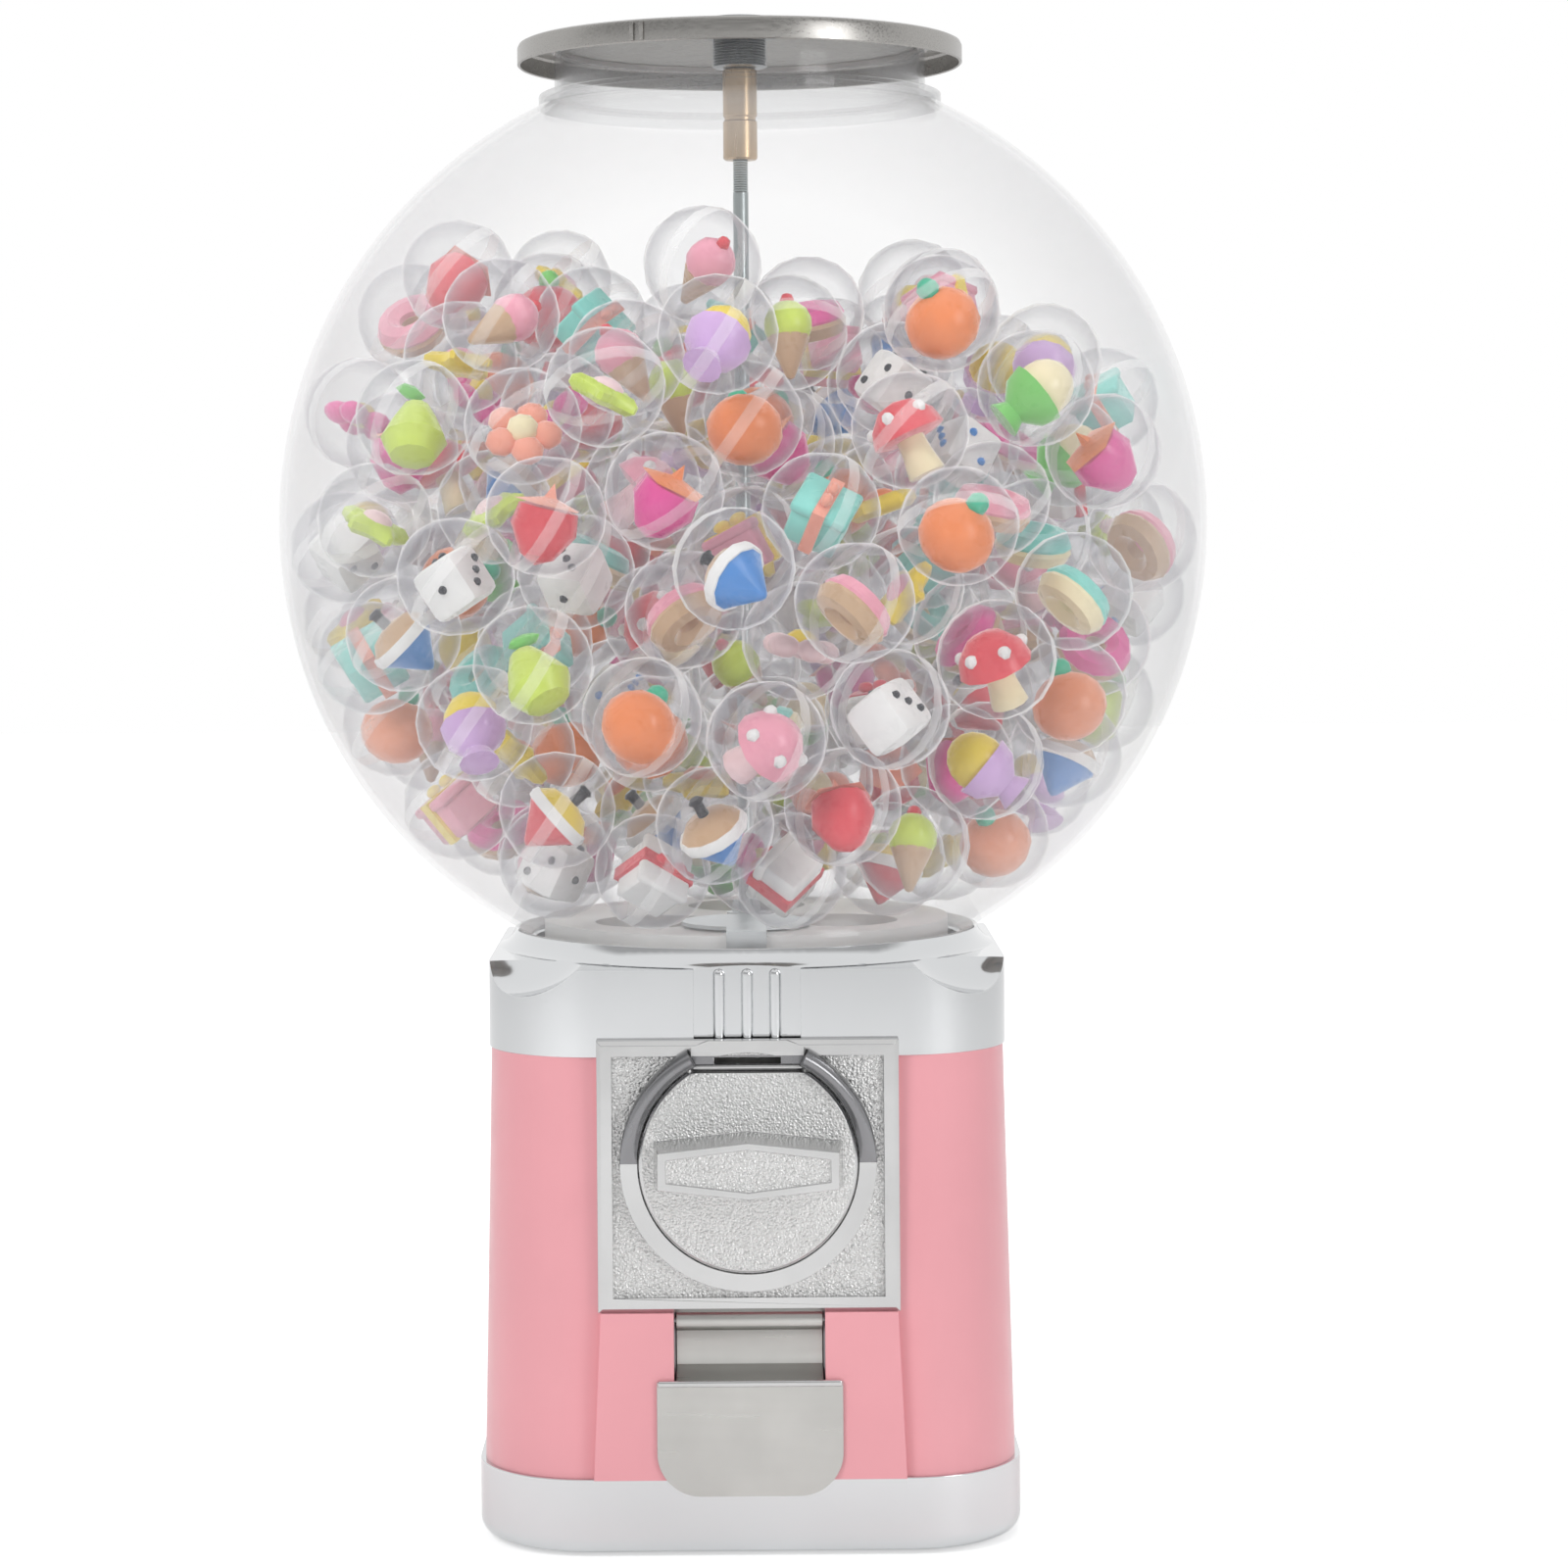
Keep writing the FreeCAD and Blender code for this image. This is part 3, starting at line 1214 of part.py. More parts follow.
def settle_capsules():
    """Let capsules down one by one along a golden-angle spiral; each rolls to a low spot."""
    radius = d.capsule_radius.value + d.capsule_gap.value / 2.0
    pack = radius * 2.0
    reach = d.globe_radius.value - d.globe_wall.value - radius - d.capsule_gap.value / 2.0
    z_centre = z_globe.value
    z_rest = z_guard_top.value + d.capsule_gap.value + radius
    clear = d.rod_radius.value + radius + d.capsule_gap.value
    golden = math.pi * (3.0 - math.sqrt(5.0))
    settled = []
    tries = 0
    while len(settled) < MAX_CAPSULES and tries < MAX_CAPSULES * 6:
        tries += 1
        spread = math.sqrt(math.fmod(tries * 0.618034, 1.0))
        start = clear + (reach - clear) * spread
        x, y = start * math.cos(golden * tries), start * math.sin(golden * tries)
        near = [p for p in settled if math.hypot(p[0] - x, p[1] - y) < pack * 3.0]
        best = drop_height(x, y, near, pack, reach, z_rest, z_centre, clear)
        step = radius / 2.0
        while step > 0.02:
            moved = False
            for turn in range(8):
                angle = math.pi * turn / 4.0
                nx, ny = x + step * math.cos(angle), y + step * math.sin(angle)
                height = drop_height(nx, ny, near, pack, reach, z_rest, z_centre, clear)
                if height < best - 1e-6:
                    best, x, y, moved = height, nx, ny, True
            near = [p for p in settled if math.hypot(p[0] - x, p[1] - y) < pack * 3.0]
            if not moved:
                step /= 2.0
        share = (math.hypot(x, y) / reach) ** 2
        rise = d.fill_middle.value + (d.fill_edge.value - d.fill_middle.value) * share
        limit = z_centre + d.globe_radius.value * rise
        if best <= limit:
            settled.append((x, y, best))
    return settled


def prize_forms(room):
    """Plain toy shapes that each fill a capsule's inside radius."""
    lean = room * 0.995
    ball = Part.makeSphere(lean * 0.72, Vector(0, 0, -lean * 0.28))
    knob = Part.makeCylinder(lean * 0.2, lean * 0.6, Vector(0, 0, lean * 0.35))
    side = lean * 0.62
    cube = Part.makeBox(side * 2, side * 1.5, side * 1.2, Vector(-side, -side * 0.75, -side * 0.6))
    spots = []
    for i in range(10):
        reach = lean * (0.93 if i % 2 == 0 else 0.45)
        angle = math.pi * i / 5.0
        spots.append(Vector(reach * math.cos(angle), reach * math.sin(angle), -lean * 0.18))
    star = Part.Face(Part.makePolygon(spots + spots[:1])).extrude(Vector(0, 0, lean * 0.36))
    ring = Part.makeTorus(lean * 0.66, lean * 0.3)
    cone = Part.makeCone(lean * 0.7, lean * 0.15, lean * 1.5, Vector(0, 0, -lean * 0.68))
    return {
        "prize_fruits": ball.fuse(knob),
        "prize_blocks": cube,
        "prize_stars": star,
        "prize_rings": ring,
        "prize_cones": cone,
    }


def make_capsules():
    radius, wall = d.capsule_radius.value, d.capsule_wall.value
    up, down = Vector(0, 0, 1), Vector(0, 0, -1)
    centre = Vector(0, 0, 0)

    def half_shell(direction):
        outer = Part.makeSphere(radius, centre, direction, 0, 90, 360)
        return outer.cut(Part.makeSphere(radius - wall, centre, direction, 0, 90, 360))

    spots = settle_capsules()
    forms = prize_forms(radius - wall - d.capsule_gap.value)
    kinds = list(forms)
    sets = {"capsule_lids": [], "capsule_cups": []}
    for kind in kinds:
        sets[kind] = []
    lid, cup = half_shell(up), half_shell(down)
    for i, (x, y, z) in enumerate(spots):
        axis = Vector(math.cos(2.4 * i), math.sin(2.4 * i), 0)
        turn = FreeCAD.Rotation(axis, 25.0 + 130.0 * math.fmod(i * 0.618034, 1.0))
        where = FreeCAD.Placement(Vector(x, y, z), turn)
        for label, form in (("capsule_lids", lid), ("capsule_cups", cup), (kinds[i % len(kinds)], None)):
            shape = (form or forms[label]).copy()
            shape.Placement = where.multiply(shape.Placement)
            sets[label].append(shape)
    for label, shapes in sets.items():
        feature = doc.addObject("Part::Feature", label)
        feature.Shape = Part.makeCompound(shapes)
        keep(feature, label)
    print("capsules", len(spots))


make_base()
make_body()
make_cap()
make_globe()
make_seals()
make_lid()
make_rod()
make_hopper()
make_wheel()
make_guard()
make_coin_plate()
make_knob()
make_mechanism()
make_flap()
make_chute()
make_coin_way()
make_capsules()
doc.recompute()

faults = []
for obj in doc.Objects:
    if "Invalid" in obj.State or "Error" in obj.State:
        faults.append("{} {}".format(obj.Label, obj.State))
for node in nodes:
    shape = node.Shape
    if shape.isNull() or not shape.isValid() or not shape.Solids:
        faults.append("{} has no sound shape".format(node.Label))
if faults:
    raise RuntimeError("; ".join(faults))
os.makedirs("parts", exist_ok=True)
for node in nodes:
    node.Shape.exportStep("parts/{}.step".format(node.Label))
    box = node.Shape.BoundBox
    print("{:18s} solids {:3d} z {:7.1f} {:7.1f} y {:7.1f} {:7.1f} x {:7.1f} {:7.1f}".format(
        node.Label, len(node.Shape.Solids), box.ZMin, box.ZMax, box.YMin, box.YMax, box.XMin, box.XMax))
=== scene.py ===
import json
import math
import random
import bpy
import numpy as np
from mathutils import Matrix, Vector


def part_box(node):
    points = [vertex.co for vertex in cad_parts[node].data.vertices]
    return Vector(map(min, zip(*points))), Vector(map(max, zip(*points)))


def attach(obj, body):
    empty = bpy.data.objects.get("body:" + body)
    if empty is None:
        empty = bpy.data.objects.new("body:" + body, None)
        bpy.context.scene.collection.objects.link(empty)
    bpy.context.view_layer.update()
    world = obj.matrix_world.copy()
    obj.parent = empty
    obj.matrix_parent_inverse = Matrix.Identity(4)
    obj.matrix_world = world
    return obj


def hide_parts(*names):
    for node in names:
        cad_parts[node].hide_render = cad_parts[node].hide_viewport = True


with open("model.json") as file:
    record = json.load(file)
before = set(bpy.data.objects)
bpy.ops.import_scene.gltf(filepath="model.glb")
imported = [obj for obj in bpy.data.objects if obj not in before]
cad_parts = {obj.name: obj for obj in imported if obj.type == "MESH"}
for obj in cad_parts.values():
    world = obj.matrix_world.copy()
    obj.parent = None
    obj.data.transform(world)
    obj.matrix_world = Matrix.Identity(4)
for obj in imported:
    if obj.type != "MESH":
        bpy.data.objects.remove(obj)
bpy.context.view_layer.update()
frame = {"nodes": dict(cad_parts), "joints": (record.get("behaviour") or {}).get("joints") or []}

bl_info = {
    "name": "Capsule vending machine",
    "version": (1, 0, 0),
    "blender": (4, 5, 0),
    "location": "View3D > Sidebar > Capsule machine",
    "description": "Models and finishes a globe-topped toy capsule machine on its packed frame",
    "category": "Object",
}

# Modelling helpers

def deselect():
    if bpy.context.mode != "OBJECT":
        bpy.ops.object.mode_set(mode="OBJECT")
    bpy.ops.object.select_all(action="DESELECT")


def take(obj):
    deselect()
    obj.select_set(True)
    bpy.context.view_layer.objects.active = obj


def pick(obj, kind, test):
    """Open obj in edit mode with the vertices, edges or faces selected that pass the test."""
    take(obj)
    mesh = obj.data
    parts = {"VERT": mesh.vertices, "EDGE": mesh.edges, "FACE": mesh.polygons}
    bpy.context.tool_settings.mesh_select_mode = [kind == k for k in ("VERT", "EDGE", "FACE")]
    for group in parts.values():
        group.foreach_set("select", [False] * len(group))
    for part in parts[kind]:
        part.select = bool(test(part))
    bpy.ops.object.mode_set(mode="EDIT")


def edge_middle(obj, edge):
    first, second = (obj.data.vertices[i].co for i in edge.vertices)
    return (first + second) / 2.0


def close(obj):
    """Leave edit mode."""
    take(obj)
    return obj


def settle(obj, name):
    """Put the object's place into its mesh and name it."""
    take(obj)
    bpy.ops.object.transform_apply(location=True, rotation=True, scale=True)
    obj.name = name
    obj.data.name = name
    return obj


def modify(obj, kind, **settings):
    take(obj)
    modifier = obj.modifiers.new(kind.title(), kind)
    for key, value in settings.items():
        setattr(modifier, key, value)
    bpy.ops.object.modifier_apply(modifier=modifier.name)
    return obj


def smooth(obj, degrees=35.0):
    take(obj)
    bpy.ops.object.shade_smooth_by_angle(angle=math.radians(degrees))
    return obj


def clean(obj):
    """Merge the doubles and turn the faces outwards."""
    pick(obj, "VERT", lambda v: True)
    bpy.ops.mesh.remove_doubles(threshold=1e-6)
    bpy.ops.mesh.normals_make_consistent(inside=False)
    return close(obj)


def join(pieces, name):
    deselect()
    for piece in pieces:
        piece.select_set(True)
    bpy.context.view_layer.objects.active = pieces[0]
    if len(pieces) > 1:
        bpy.ops.object.join()
    whole = bpy.context.view_layer.objects.active
    whole.name = name
    whole.data.name = name
    return whole


def drawn(name, points):
    """Draw a line point by point and leave it open in edit mode, selected all over."""
    deselect()
    bpy.ops.mesh.primitive_plane_add(size=0.001, location=points[0])
    obj = settle(bpy.context.object, name)
    pick(obj, "VERT", lambda v: True)
    bpy.ops.mesh.merge(type="CENTER")
    for here, there in zip(points, points[1:]):
        bpy.ops.mesh.extrude_vertices_move(TRANSFORM_OT_translate={"value": there - here})
    bpy.ops.mesh.select_all(action="SELECT")
    return obj


def turned(name, profile, steps=96):
    """Spin a profile of (radius, height) corners about the upright axis."""
    obj = drawn(name, [Vector((radius, 0.0, height)) for radius, height in profile])
    bpy.ops.mesh.spin(steps=steps, angle=2.0 * math.pi, center=(0.0, 0.0, 0.0), axis=(0.0, 0.0, 1.0))
    return clean(obj)


def ball(name, radius, centre, segments=12, rings=8, stretch=(1.0, 1.0, 1.0)):
    deselect()
    bpy.ops.mesh.primitive_uv_sphere_add(
        segments=segments, ring_count=rings, radius=radius, location=centre,
    )
    obj = bpy.context.object
    obj.scale = stretch
    return settle(obj, name)


def bar(name, low, high, bevel=0.0, segments=2):
    """A bevelled bar between two corners."""
    low, high = Vector(low), Vector(high)
    deselect()
    bpy.ops.mesh.primitive_cube_add(size=1.0, location=(low + high) / 2.0)
    obj = bpy.context.object
    obj.scale = high - low
    settle(obj, name)
    if bevel:
        pick(obj, "EDGE", lambda e: True)
        bpy.ops.mesh.bevel(offset=bevel, segments=segments, affect="EDGES")
        close(obj)
    return obj


def node_copy(node, name, bevel=0.0, angle=30.0, segments=2):
    """A merged copy of a CAD node whose sharp edges are rounded as a caster or presser leaves them."""
    obj = bpy.data.objects.new(name, frame["nodes"][node].data.copy())
    bpy.context.scene.collection.objects.link(obj)
    obj.data.name = name
    obj.data.materials.clear()
    take(obj)
    if obj.data.has_custom_normals:
        bpy.ops.mesh.customdata_custom_splitnormals_clear()
    pick(obj, "VERT", lambda v: True)
    bpy.ops.mesh.remove_doubles(threshold=2e-6)
    bpy.ops.mesh.dissolve_limited(angle_limit=math.radians(0.4))
    close(obj)
    if bevel:
        modify(
            obj, "BEVEL", width=bevel, segments=segments, limit_method="ANGLE",
            angle_limit=math.radians(angle), use_clamp_overlap=True, miter_outer="MITER_ARC",
        )
    smooth(obj)
    return modify(obj, "WEIGHTED_NORMAL", keep_sharp=True)


def paint(obj, *finishes):
    obj.data.materials.clear()
    for material in finishes:
        obj.data.materials.append(material)
    return obj


def paint_faces(obj, index, test):
    for face in obj.data.polygons:
        if test(face):
            face.material_index = index


def faces_front(face, plane):
    """Whether a face looks to the front and lies in that plane."""
    return face.normal.y < -0.95 and abs(face.center.y - plane) < 0.0003


def fit(obj, body, slot, *nodes):
    """Set a finished piece on its body in place of the CAD nodes that it stands for."""
    if nodes:
        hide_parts(*nodes)
    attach(obj, body)
    return obj


# Finishes

def add_node(tree, kind, inputs=None, **settings):
    """A shader node with its settings, each input set to a value or linked to a socket."""
    made = tree.nodes.new(kind)
    for key, value in settings.items():
        setattr(made, key, value)
    for key, value in (inputs or {}).items():
        if isinstance(value, bpy.types.NodeSocket):
            tree.links.new(value, made.inputs[key])
        else:
            made.inputs[key].default_value = value
    return made


class Finish:
    """A Principled material that is built up from Object coordinates."""

    def __init__(self, name, colour, metallic=0.0, roughness=0.4):
        self.material = bpy.data.materials.new(name)
        self.material.use_nodes = True
        self.tree = self.material.node_tree
        self.shader = self.tree.nodes["Principled BSDF"]
        self.colour = colour
        self.set(Metallic=metallic, Roughness=roughness)
        self.shader.inputs["Base Color"].default_value = (*colour, 1.0)
        self.coords = self.tree.nodes.new("ShaderNodeTexCoord").outputs["Object"]

    def set(self, **values):
        for key, value in values.items():
            self.shader.inputs[key.replace("_", " ")].default_value = value

    def node(self, kind, inputs=None, **settings):
        return add_node(self.tree, kind, inputs, **settings)

    def stretched(self, scale):
        return self.node("ShaderNodeMapping", {"Vector": self.coords, "Scale": scale}).outputs["Vector"]

    def noise(self, scale, detail=3.0, stretch=None):
        vector = self.stretched(stretch) if stretch else self.coords
        made = self.node("ShaderNodeTexNoise", {"Vector": vector, "Scale": scale, "Detail": detail})
        return made.outputs["Fac"]

    def cells(self, scale):
        made = self.node("ShaderNodeTexVoronoi", {"Vector": self.coords, "Scale": scale})
        return made.outputs["Distance"]

    def spread(self, factor, low, high, start=0.3, end=0.7):
        made = self.node("ShaderNodeMapRange", {
            "Value": factor, "From Min": start, "From Max": end, "To Min": low, "To Max": high,
        })
        return made.outputs["Result"]

    def product(self, first, second):
        return self.node("ShaderNodeMath", {0: first, 1: second}, operation="MULTIPLY").outputs["Value"]

    def tint(self, factor, dark, light, start=0.35, end=0.65):
        amount = self.spread(factor, 0.0, 1.0, start, end)
        made = self.node("ShaderNodeMix", {"Factor": amount}, data_type="RGBA")
        made.inputs[6].default_value = (*dark, 1.0)
        made.inputs[7].default_value = (*light, 1.0)
        self.tree.links.new(made.outputs[2], self.shader.inputs["Base Color"])
        return self

    def shaded(self, factor, depth, start=0.35, end=0.65):
        """Vary the colour by a share either side of itself."""
        dark = tuple(c * (1.0 - depth) for c in self.colour)
        light = tuple(min(1.0, c * (1.0 + depth)) for c in self.colour)
        return self.tint(factor, dark, light, start, end)

    def rough(self, factor, low, high, start=0.3, end=0.7):
        self.tree.links.new(self.spread(factor, low, high, start, end), self.shader.inputs["Roughness"])
        return self

    def relief(self, height, strength, distance):
        made = self.node("ShaderNodeBump", {
            "Height": height, "Strength": strength, "Distance": distance,
        })
        self.tree.links.new(made.outputs["Normal"], self.shader.inputs["Normal"])
        return self

    def clear(self, middle, rim, blend=0.5):
        """Clear where it is seen square on, paler towards the turned-away rim."""
        facing = self.node("ShaderNodeLayerWeight", {"Blend": blend}).outputs["Facing"]
        self.tree.links.new(self.spread(facing, middle, rim, 0.25, 1.0), self.shader.inputs["Alpha"])
        return self


def chrome_plate():
    made = Finish("chrome_plate", (0.66, 0.67, 0.68), 1.0, 0.1)
    made.rough(made.noise(24.0), 0.06, 0.15)
    made.shaded(made.noise(9.0), 0.03)
    return made.relief(made.noise(14.0, 1.0), 0.03, 0.004)


def brushed_steel():
    made = Finish("brushed_steel", (0.37, 0.36, 0.345), 1.0, 0.3)
    grain = made.noise(1500.0, 3.0, (0.015, 1.0, 1.0))
    made.rough(grain, 0.24, 0.38)
    made.shaded(grain, 0.07)
    return made.relief(grain, 0.06, 0.0003)


def satin_steel():
    made = Finish("satin_steel", (0.54, 0.535, 0.515), 1.0, 0.32)
    grain = made.noise(420.0, 3.0, (0.05, 1.0, 1.0))
    made.rough(grain, 0.27, 0.38)
    made.shaded(made.noise(30.0), 0.05)
    return made.relief(grain, 0.05, 0.0003)


def cast_chrome():
    made = Finish("cast_chrome", (0.60, 0.60, 0.60), 1.0, 0.16)
    made.rough(made.noise(40.0), 0.12, 0.24)
    made.shaded(made.noise(16.0), 0.04)
    return made.relief(made.noise(90.0, 2.0), 0.04, 0.002)


def painted_shade_reflection_chrome():
    """Chrome painted dark: a painted reflection of dark surroundings on the horns, and painted shade on
    the floor of the coin slot's recess.
    """
    made = Finish("painted_shade_reflection_chrome", (0.27, 0.27, 0.28), 1.0, 0.26)
    made.rough(made.noise(40.0), 0.22, 0.34)
    made.shaded(made.noise(16.0), 0.06)
    return made.relief(made.noise(120.0, 2.0), 0.03, 0.001)


def stippled_chrome():
    made = Finish("stippled_chrome", (0.70, 0.70, 0.695), 1.0, 0.3)
    grit = made.noise(1300.0, 2.0)
    pits = made.cells(900.0)
    made.rough(grit, 0.26, 0.44)
    made.shaded(grit, 0.08)
    return made.relief(made.product(grit, pits), 0.8, 0.0015)


def pink_enamel(colour):
    made = Finish("pink_enamel", tuple(colour), 0.0, 0.32)
    made.set(Coat_Weight=0.35, Coat_Roughness=0.12)
    made.shaded(made.noise(12.0), 0.025)
    made.rough(made.noise(60.0), 0.28, 0.38)
    return made.relief(made.noise(420.0, 2.0), 0.05, 0.0006)


CLEAR_GLOSS = 1.9


def clear_blown(name, colour, middle, rim):
    made = Finish(name, colour, 0.0, 0.06)
    made.set(IOR=CLEAR_GLOSS)
    made.rough(made.noise(8.0), 0.03, 0.10)
    return made.clear(middle, rim, 0.42)


def clear_capsule():
    made = Finish("clear_capsule", (0.72, 0.70, 0.76), 0.0, 0.08)
    made.set(IOR=CLEAR_GLOSS)
    made.rough(made.noise(70.0), 0.05, 0.16)
    # The colour is painted by facing: dark grey-lilac where the shell is seen square on, paling to whitish
    # towards the turned-away rim. This is a painted reflection.
    facing = made.node("ShaderNodeLayerWeight", {"Blend": 0.45}).outputs["Facing"]
    made.tint(facing, (0.29, 0.29, 0.34), (0.86, 0.85, 0.88), 0.64, 0.88)
    return made.clear(0.08, 0.62, 0.45)


def capsule_band():
    made = Finish("capsule_band", (0.88, 0.88, 0.89), 0.0, 0.2)
    made.rough(made.noise(160.0), 0.14, 0.28)
    return made.clear(0.28, 0.70, 0.5)


def brass():
    made = Finish("brass", (0.43, 0.31, 0.19), 1.0, 0.3)
    grain = made.noise(500.0, 3.0, (1.0, 1.0, 0.05))
    made.rough(grain, 0.24, 0.40)
    made.shaded(made.noise(60.0), 0.10)
    return made.relief(grain, 0.08, 0.0003)


def drawn_steel():
    made = Finish("drawn_steel", (0.30, 0.33, 0.33), 1.0, 0.28)
    grain = made.noise(700.0, 3.0, (1.0, 1.0, 0.03))
    made.rough(grain, 0.2, 0.4)
    made.shaded(grain, 0.12)
    return made.relief(grain, 0.06, 0.0003)


def zinc_sheet():
    made = Finish("zinc_sheet", (0.55, 0.57, 0.58), 1.0, 0.38)
    spangle = made.cells(120.0)
    made.rough(spangle, 0.30, 0.50, 0.1, 0.8)
    made.shaded(spangle, 0.12, 0.1, 0.8)
    return made.relief(made.noise(300.0), 0.06, 0.0004)


def grey_lock():
    made = Finish("grey_lock", (0.34, 0.35, 0.36), 1.0, 0.4)
    made.rough(made.noise(240.0), 0.32, 0.5)
    made.shaded(made.noise(90.0), 0.12)
    return made.relief(made.noise(600.0), 0.08, 0.0003)


def moulded(name, colour, roughness=0.4, depth=0.04):
    made = Finish(name, tuple(colour), 0.0, roughness)
    made.shaded(made.noise(45.0), depth)
    made.rough(made.noise(160.0), roughness - 0.08, roughness + 0.08)
    return made.relief(made.noise(700.0, 2.0), 0.06, 0.0003)


def black_rubber():
    made = Finish("black_rubber", (0.022, 0.022, 0.023), 0.0, 0.75)
    made.shaded(made.noise(120.0), 0.25)
    made.rough(made.noise(200.0), 0.65, 0.9)
    return made.relief(made.noise(900.0), 0.2, 0.0005)


TOY_COLOURS = {
    "magenta": (0.80, 0.055, 0.33),
    "rose": (0.86, 0.36, 0.46),
    "blush": (0.89, 0.66, 0.68),
    "scarlet": (0.76, 0.07, 0.09),
    "orange": (0.88, 0.25, 0.07),
    "coral": (0.88, 0.36, 0.26),
    "yellow": (0.88, 0.68, 0.06),
    "cream": (0.90, 0.80, 0.52),
    "lime": (0.60, 0.76, 0.10),
    "leaf": (0.20, 0.62, 0.14),
    "jade": (0.03, 0.47, 0.27),
    "aqua": (0.25, 0.70, 0.62),
    "blue": (0.05, 0.25, 0.66),
    "lilac": (0.66, 0.42, 0.76),
    "white": (0.86, 0.86, 0.85),
    "ink": (0.025, 0.025, 0.03),
    "tan": (0.60, 0.40, 0.24),
}
shelf = {}


def finish(name):
    """The finish of that name, made the first time that it is asked for."""
    if name not in shelf:
        sizes = bpy.context.scene.capsule_machine
        makers = {
            "pink_enamel": lambda: pink_enamel(sizes.body_colour),
            "clear_globe": lambda: clear_blown("clear_globe", (0.74, 0.75, 0.77), 0.035, 0.42),
            # A darker grey copy of the globe's clear finish, painted shade on the neck under the lid.
            "clear_neck_painted_shade": lambda: clear_blown("clear_neck_painted_shade", (0.40, 0.41, 0.42), 0.14, 0.62),
            "pale_nylon": lambda: moulded("pale_nylon", (0.88, 0.88, 0.86)),
            "grey_moulding": lambda: moulded("grey_moulding", (0.42, 0.42, 0.43)),
            "clear_seal": lambda: moulded("clear_seal", (0.62, 0.62, 0.62), 0.5),
        }
        for plain in (
            chrome_plate, brushed_steel, satin_steel, cast_chrome, painted_shade_reflection_chrome, stippled_chrome,
            clear_capsule, capsule_band, brass, drawn_steel, zinc_sheet, grey_lock, black_rubber,
        ):
            makers[plain.__name__] = plain
        if name in TOY_COLOURS:
            shelf[name] = moulded("toy_" + name, TOY_COLOURS[name], 0.3, 0.06).material
        else:
            shelf[name] = makers[name]().material
    return shelf[name]


# Sizes and colours

class MachineSettings(bpy.types.PropertyGroup):
    body_colour: bpy.props.FloatVectorProperty(
        name="Body colour", description="Enamel of the body shell", subtype="COLOR", size=3,
        min=0.0, max=1.0, default=(0.83, 0.36, 0.40),
    )
    cast_round: bpy.props.FloatProperty(
        name="Casting edge", description="Rounding on the edges of castings",
        default=0.0007, unit="LENGTH",
    )
    sheet_round: bpy.props.FloatProperty(
        name="Sheet edge", description="Rounding on the edges of pressed sheet",
        default=0.0004, unit="LENGTH",
    )
    globe_wall: bpy.props.FloatProperty(
        name="Globe wall", description="Thickness of the clear globe", default=0.0025, unit="LENGTH",
    )
    globe_mouth: bpy.props.FloatProperty(
        name="Globe mouth", description="Radius of the opening over the wheel",
        default=0.088, unit="LENGTH",
    )
    toy_radius: bpy.props.FloatProperty(
        name="Toy size", description="Radius that a toy fills inside its capsule",
        default=0.0165, unit="LENGTH",
    )


class StageSettings(bpy.types.PropertyGroup):
    lens: bpy.props.FloatProperty(
        name="Lens", description="Focal length of the camera", default=88.9, unit="CAMERA",
    )
    camera_place: bpy.props.FloatVectorProperty(
        name="Camera place", description="Where the camera stands", subtype="TRANSLATION", size=3,
        default=(0.0, -1.617, 0.403),
    )
    camera_roll: bpy.props.FloatProperty(
        name="Camera roll", description="Lean of the camera about its own axis", subtype="ANGLE",
        default=math.radians(0.45),
    )
    camera_shift: bpy.props.FloatVectorProperty(
        name="Camera shift", description="Shift of the frame, as a share of its width", size=2,
        default=(0.026, -0.165),
    )


# The globe and its lid

class MACHINE_OT_globe(bpy.types.Operator):
    """Model the clear globe with its neck and bead"""
    bl_idname = "capsule_machine.globe"
    bl_label = "Globe"

    def execute(self, context):
        sizes = context.scene.capsule_machine
        low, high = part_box("globe")
        radius = (high.x - low.x) / 2.0
        centre = low.z + math.sqrt(radius ** 2 - sizes.globe_mouth ** 2)
        bead, neck, bead_height, bead_slope = 0.084, 0.0774, 0.005, 0.0008
        globe = ball("globe_shell", radius, (0, 0, centre), 128, 80)
        top = centre + math.sqrt(radius ** 2 - bead ** 2)
        for height, facing in ((low.z, 1.0), (top, -1.0)):
            pick(globe, "FACE", lambda f: True)
            bpy.ops.mesh.bisect(plane_co=(0, 0, height), plane_no=(0, 0, facing), clear_inner=True)
            close(globe)
        pick(globe, "EDGE", lambda e: edge_middle(globe, e).z > top - 1e-5)
        bead_top = top + bead_height
        shrink = neck / bead
        bpy.ops.mesh.extrude_region_move(TRANSFORM_OT_translate={"value": (0, 0, bead_top - top)})
        bpy.ops.mesh.extrude_region_move(TRANSFORM_OT_translate={"value": (0, 0, bead_slope)})
        bpy.ops.transform.resize(value=(shrink, shrink, 1.0), center_override=(0, 0, bead_top))
        neck_rise = high.z - bead_top - bead_slope
        bpy.ops.mesh.extrude_region_move(TRANSFORM_OT_translate={"value": (0, 0, neck_rise)})
        close(globe)
        modify(globe, "SOLIDIFY", thickness=sizes.globe_wall, offset=-1.0)
        modify(globe, "BEVEL", width=bead_slope, segments=2, limit_method="ANGLE",
               angle_limit=math.radians(40.0))
        smooth(globe, 40.0)
        paint(globe, finish("clear_globe"), finish("clear_neck_painted_shade"))
        # The bead and neck take the darker neck finish: painted shade under the lid.
        paint_faces(globe, 1, lambda f: f.center.z > top - 0.001)
        globe.visible_shadow = False
        globe.visible_glossy = False
        fit(globe, "stand", "clear_shell", "globe")
        return {"FINISHED"}


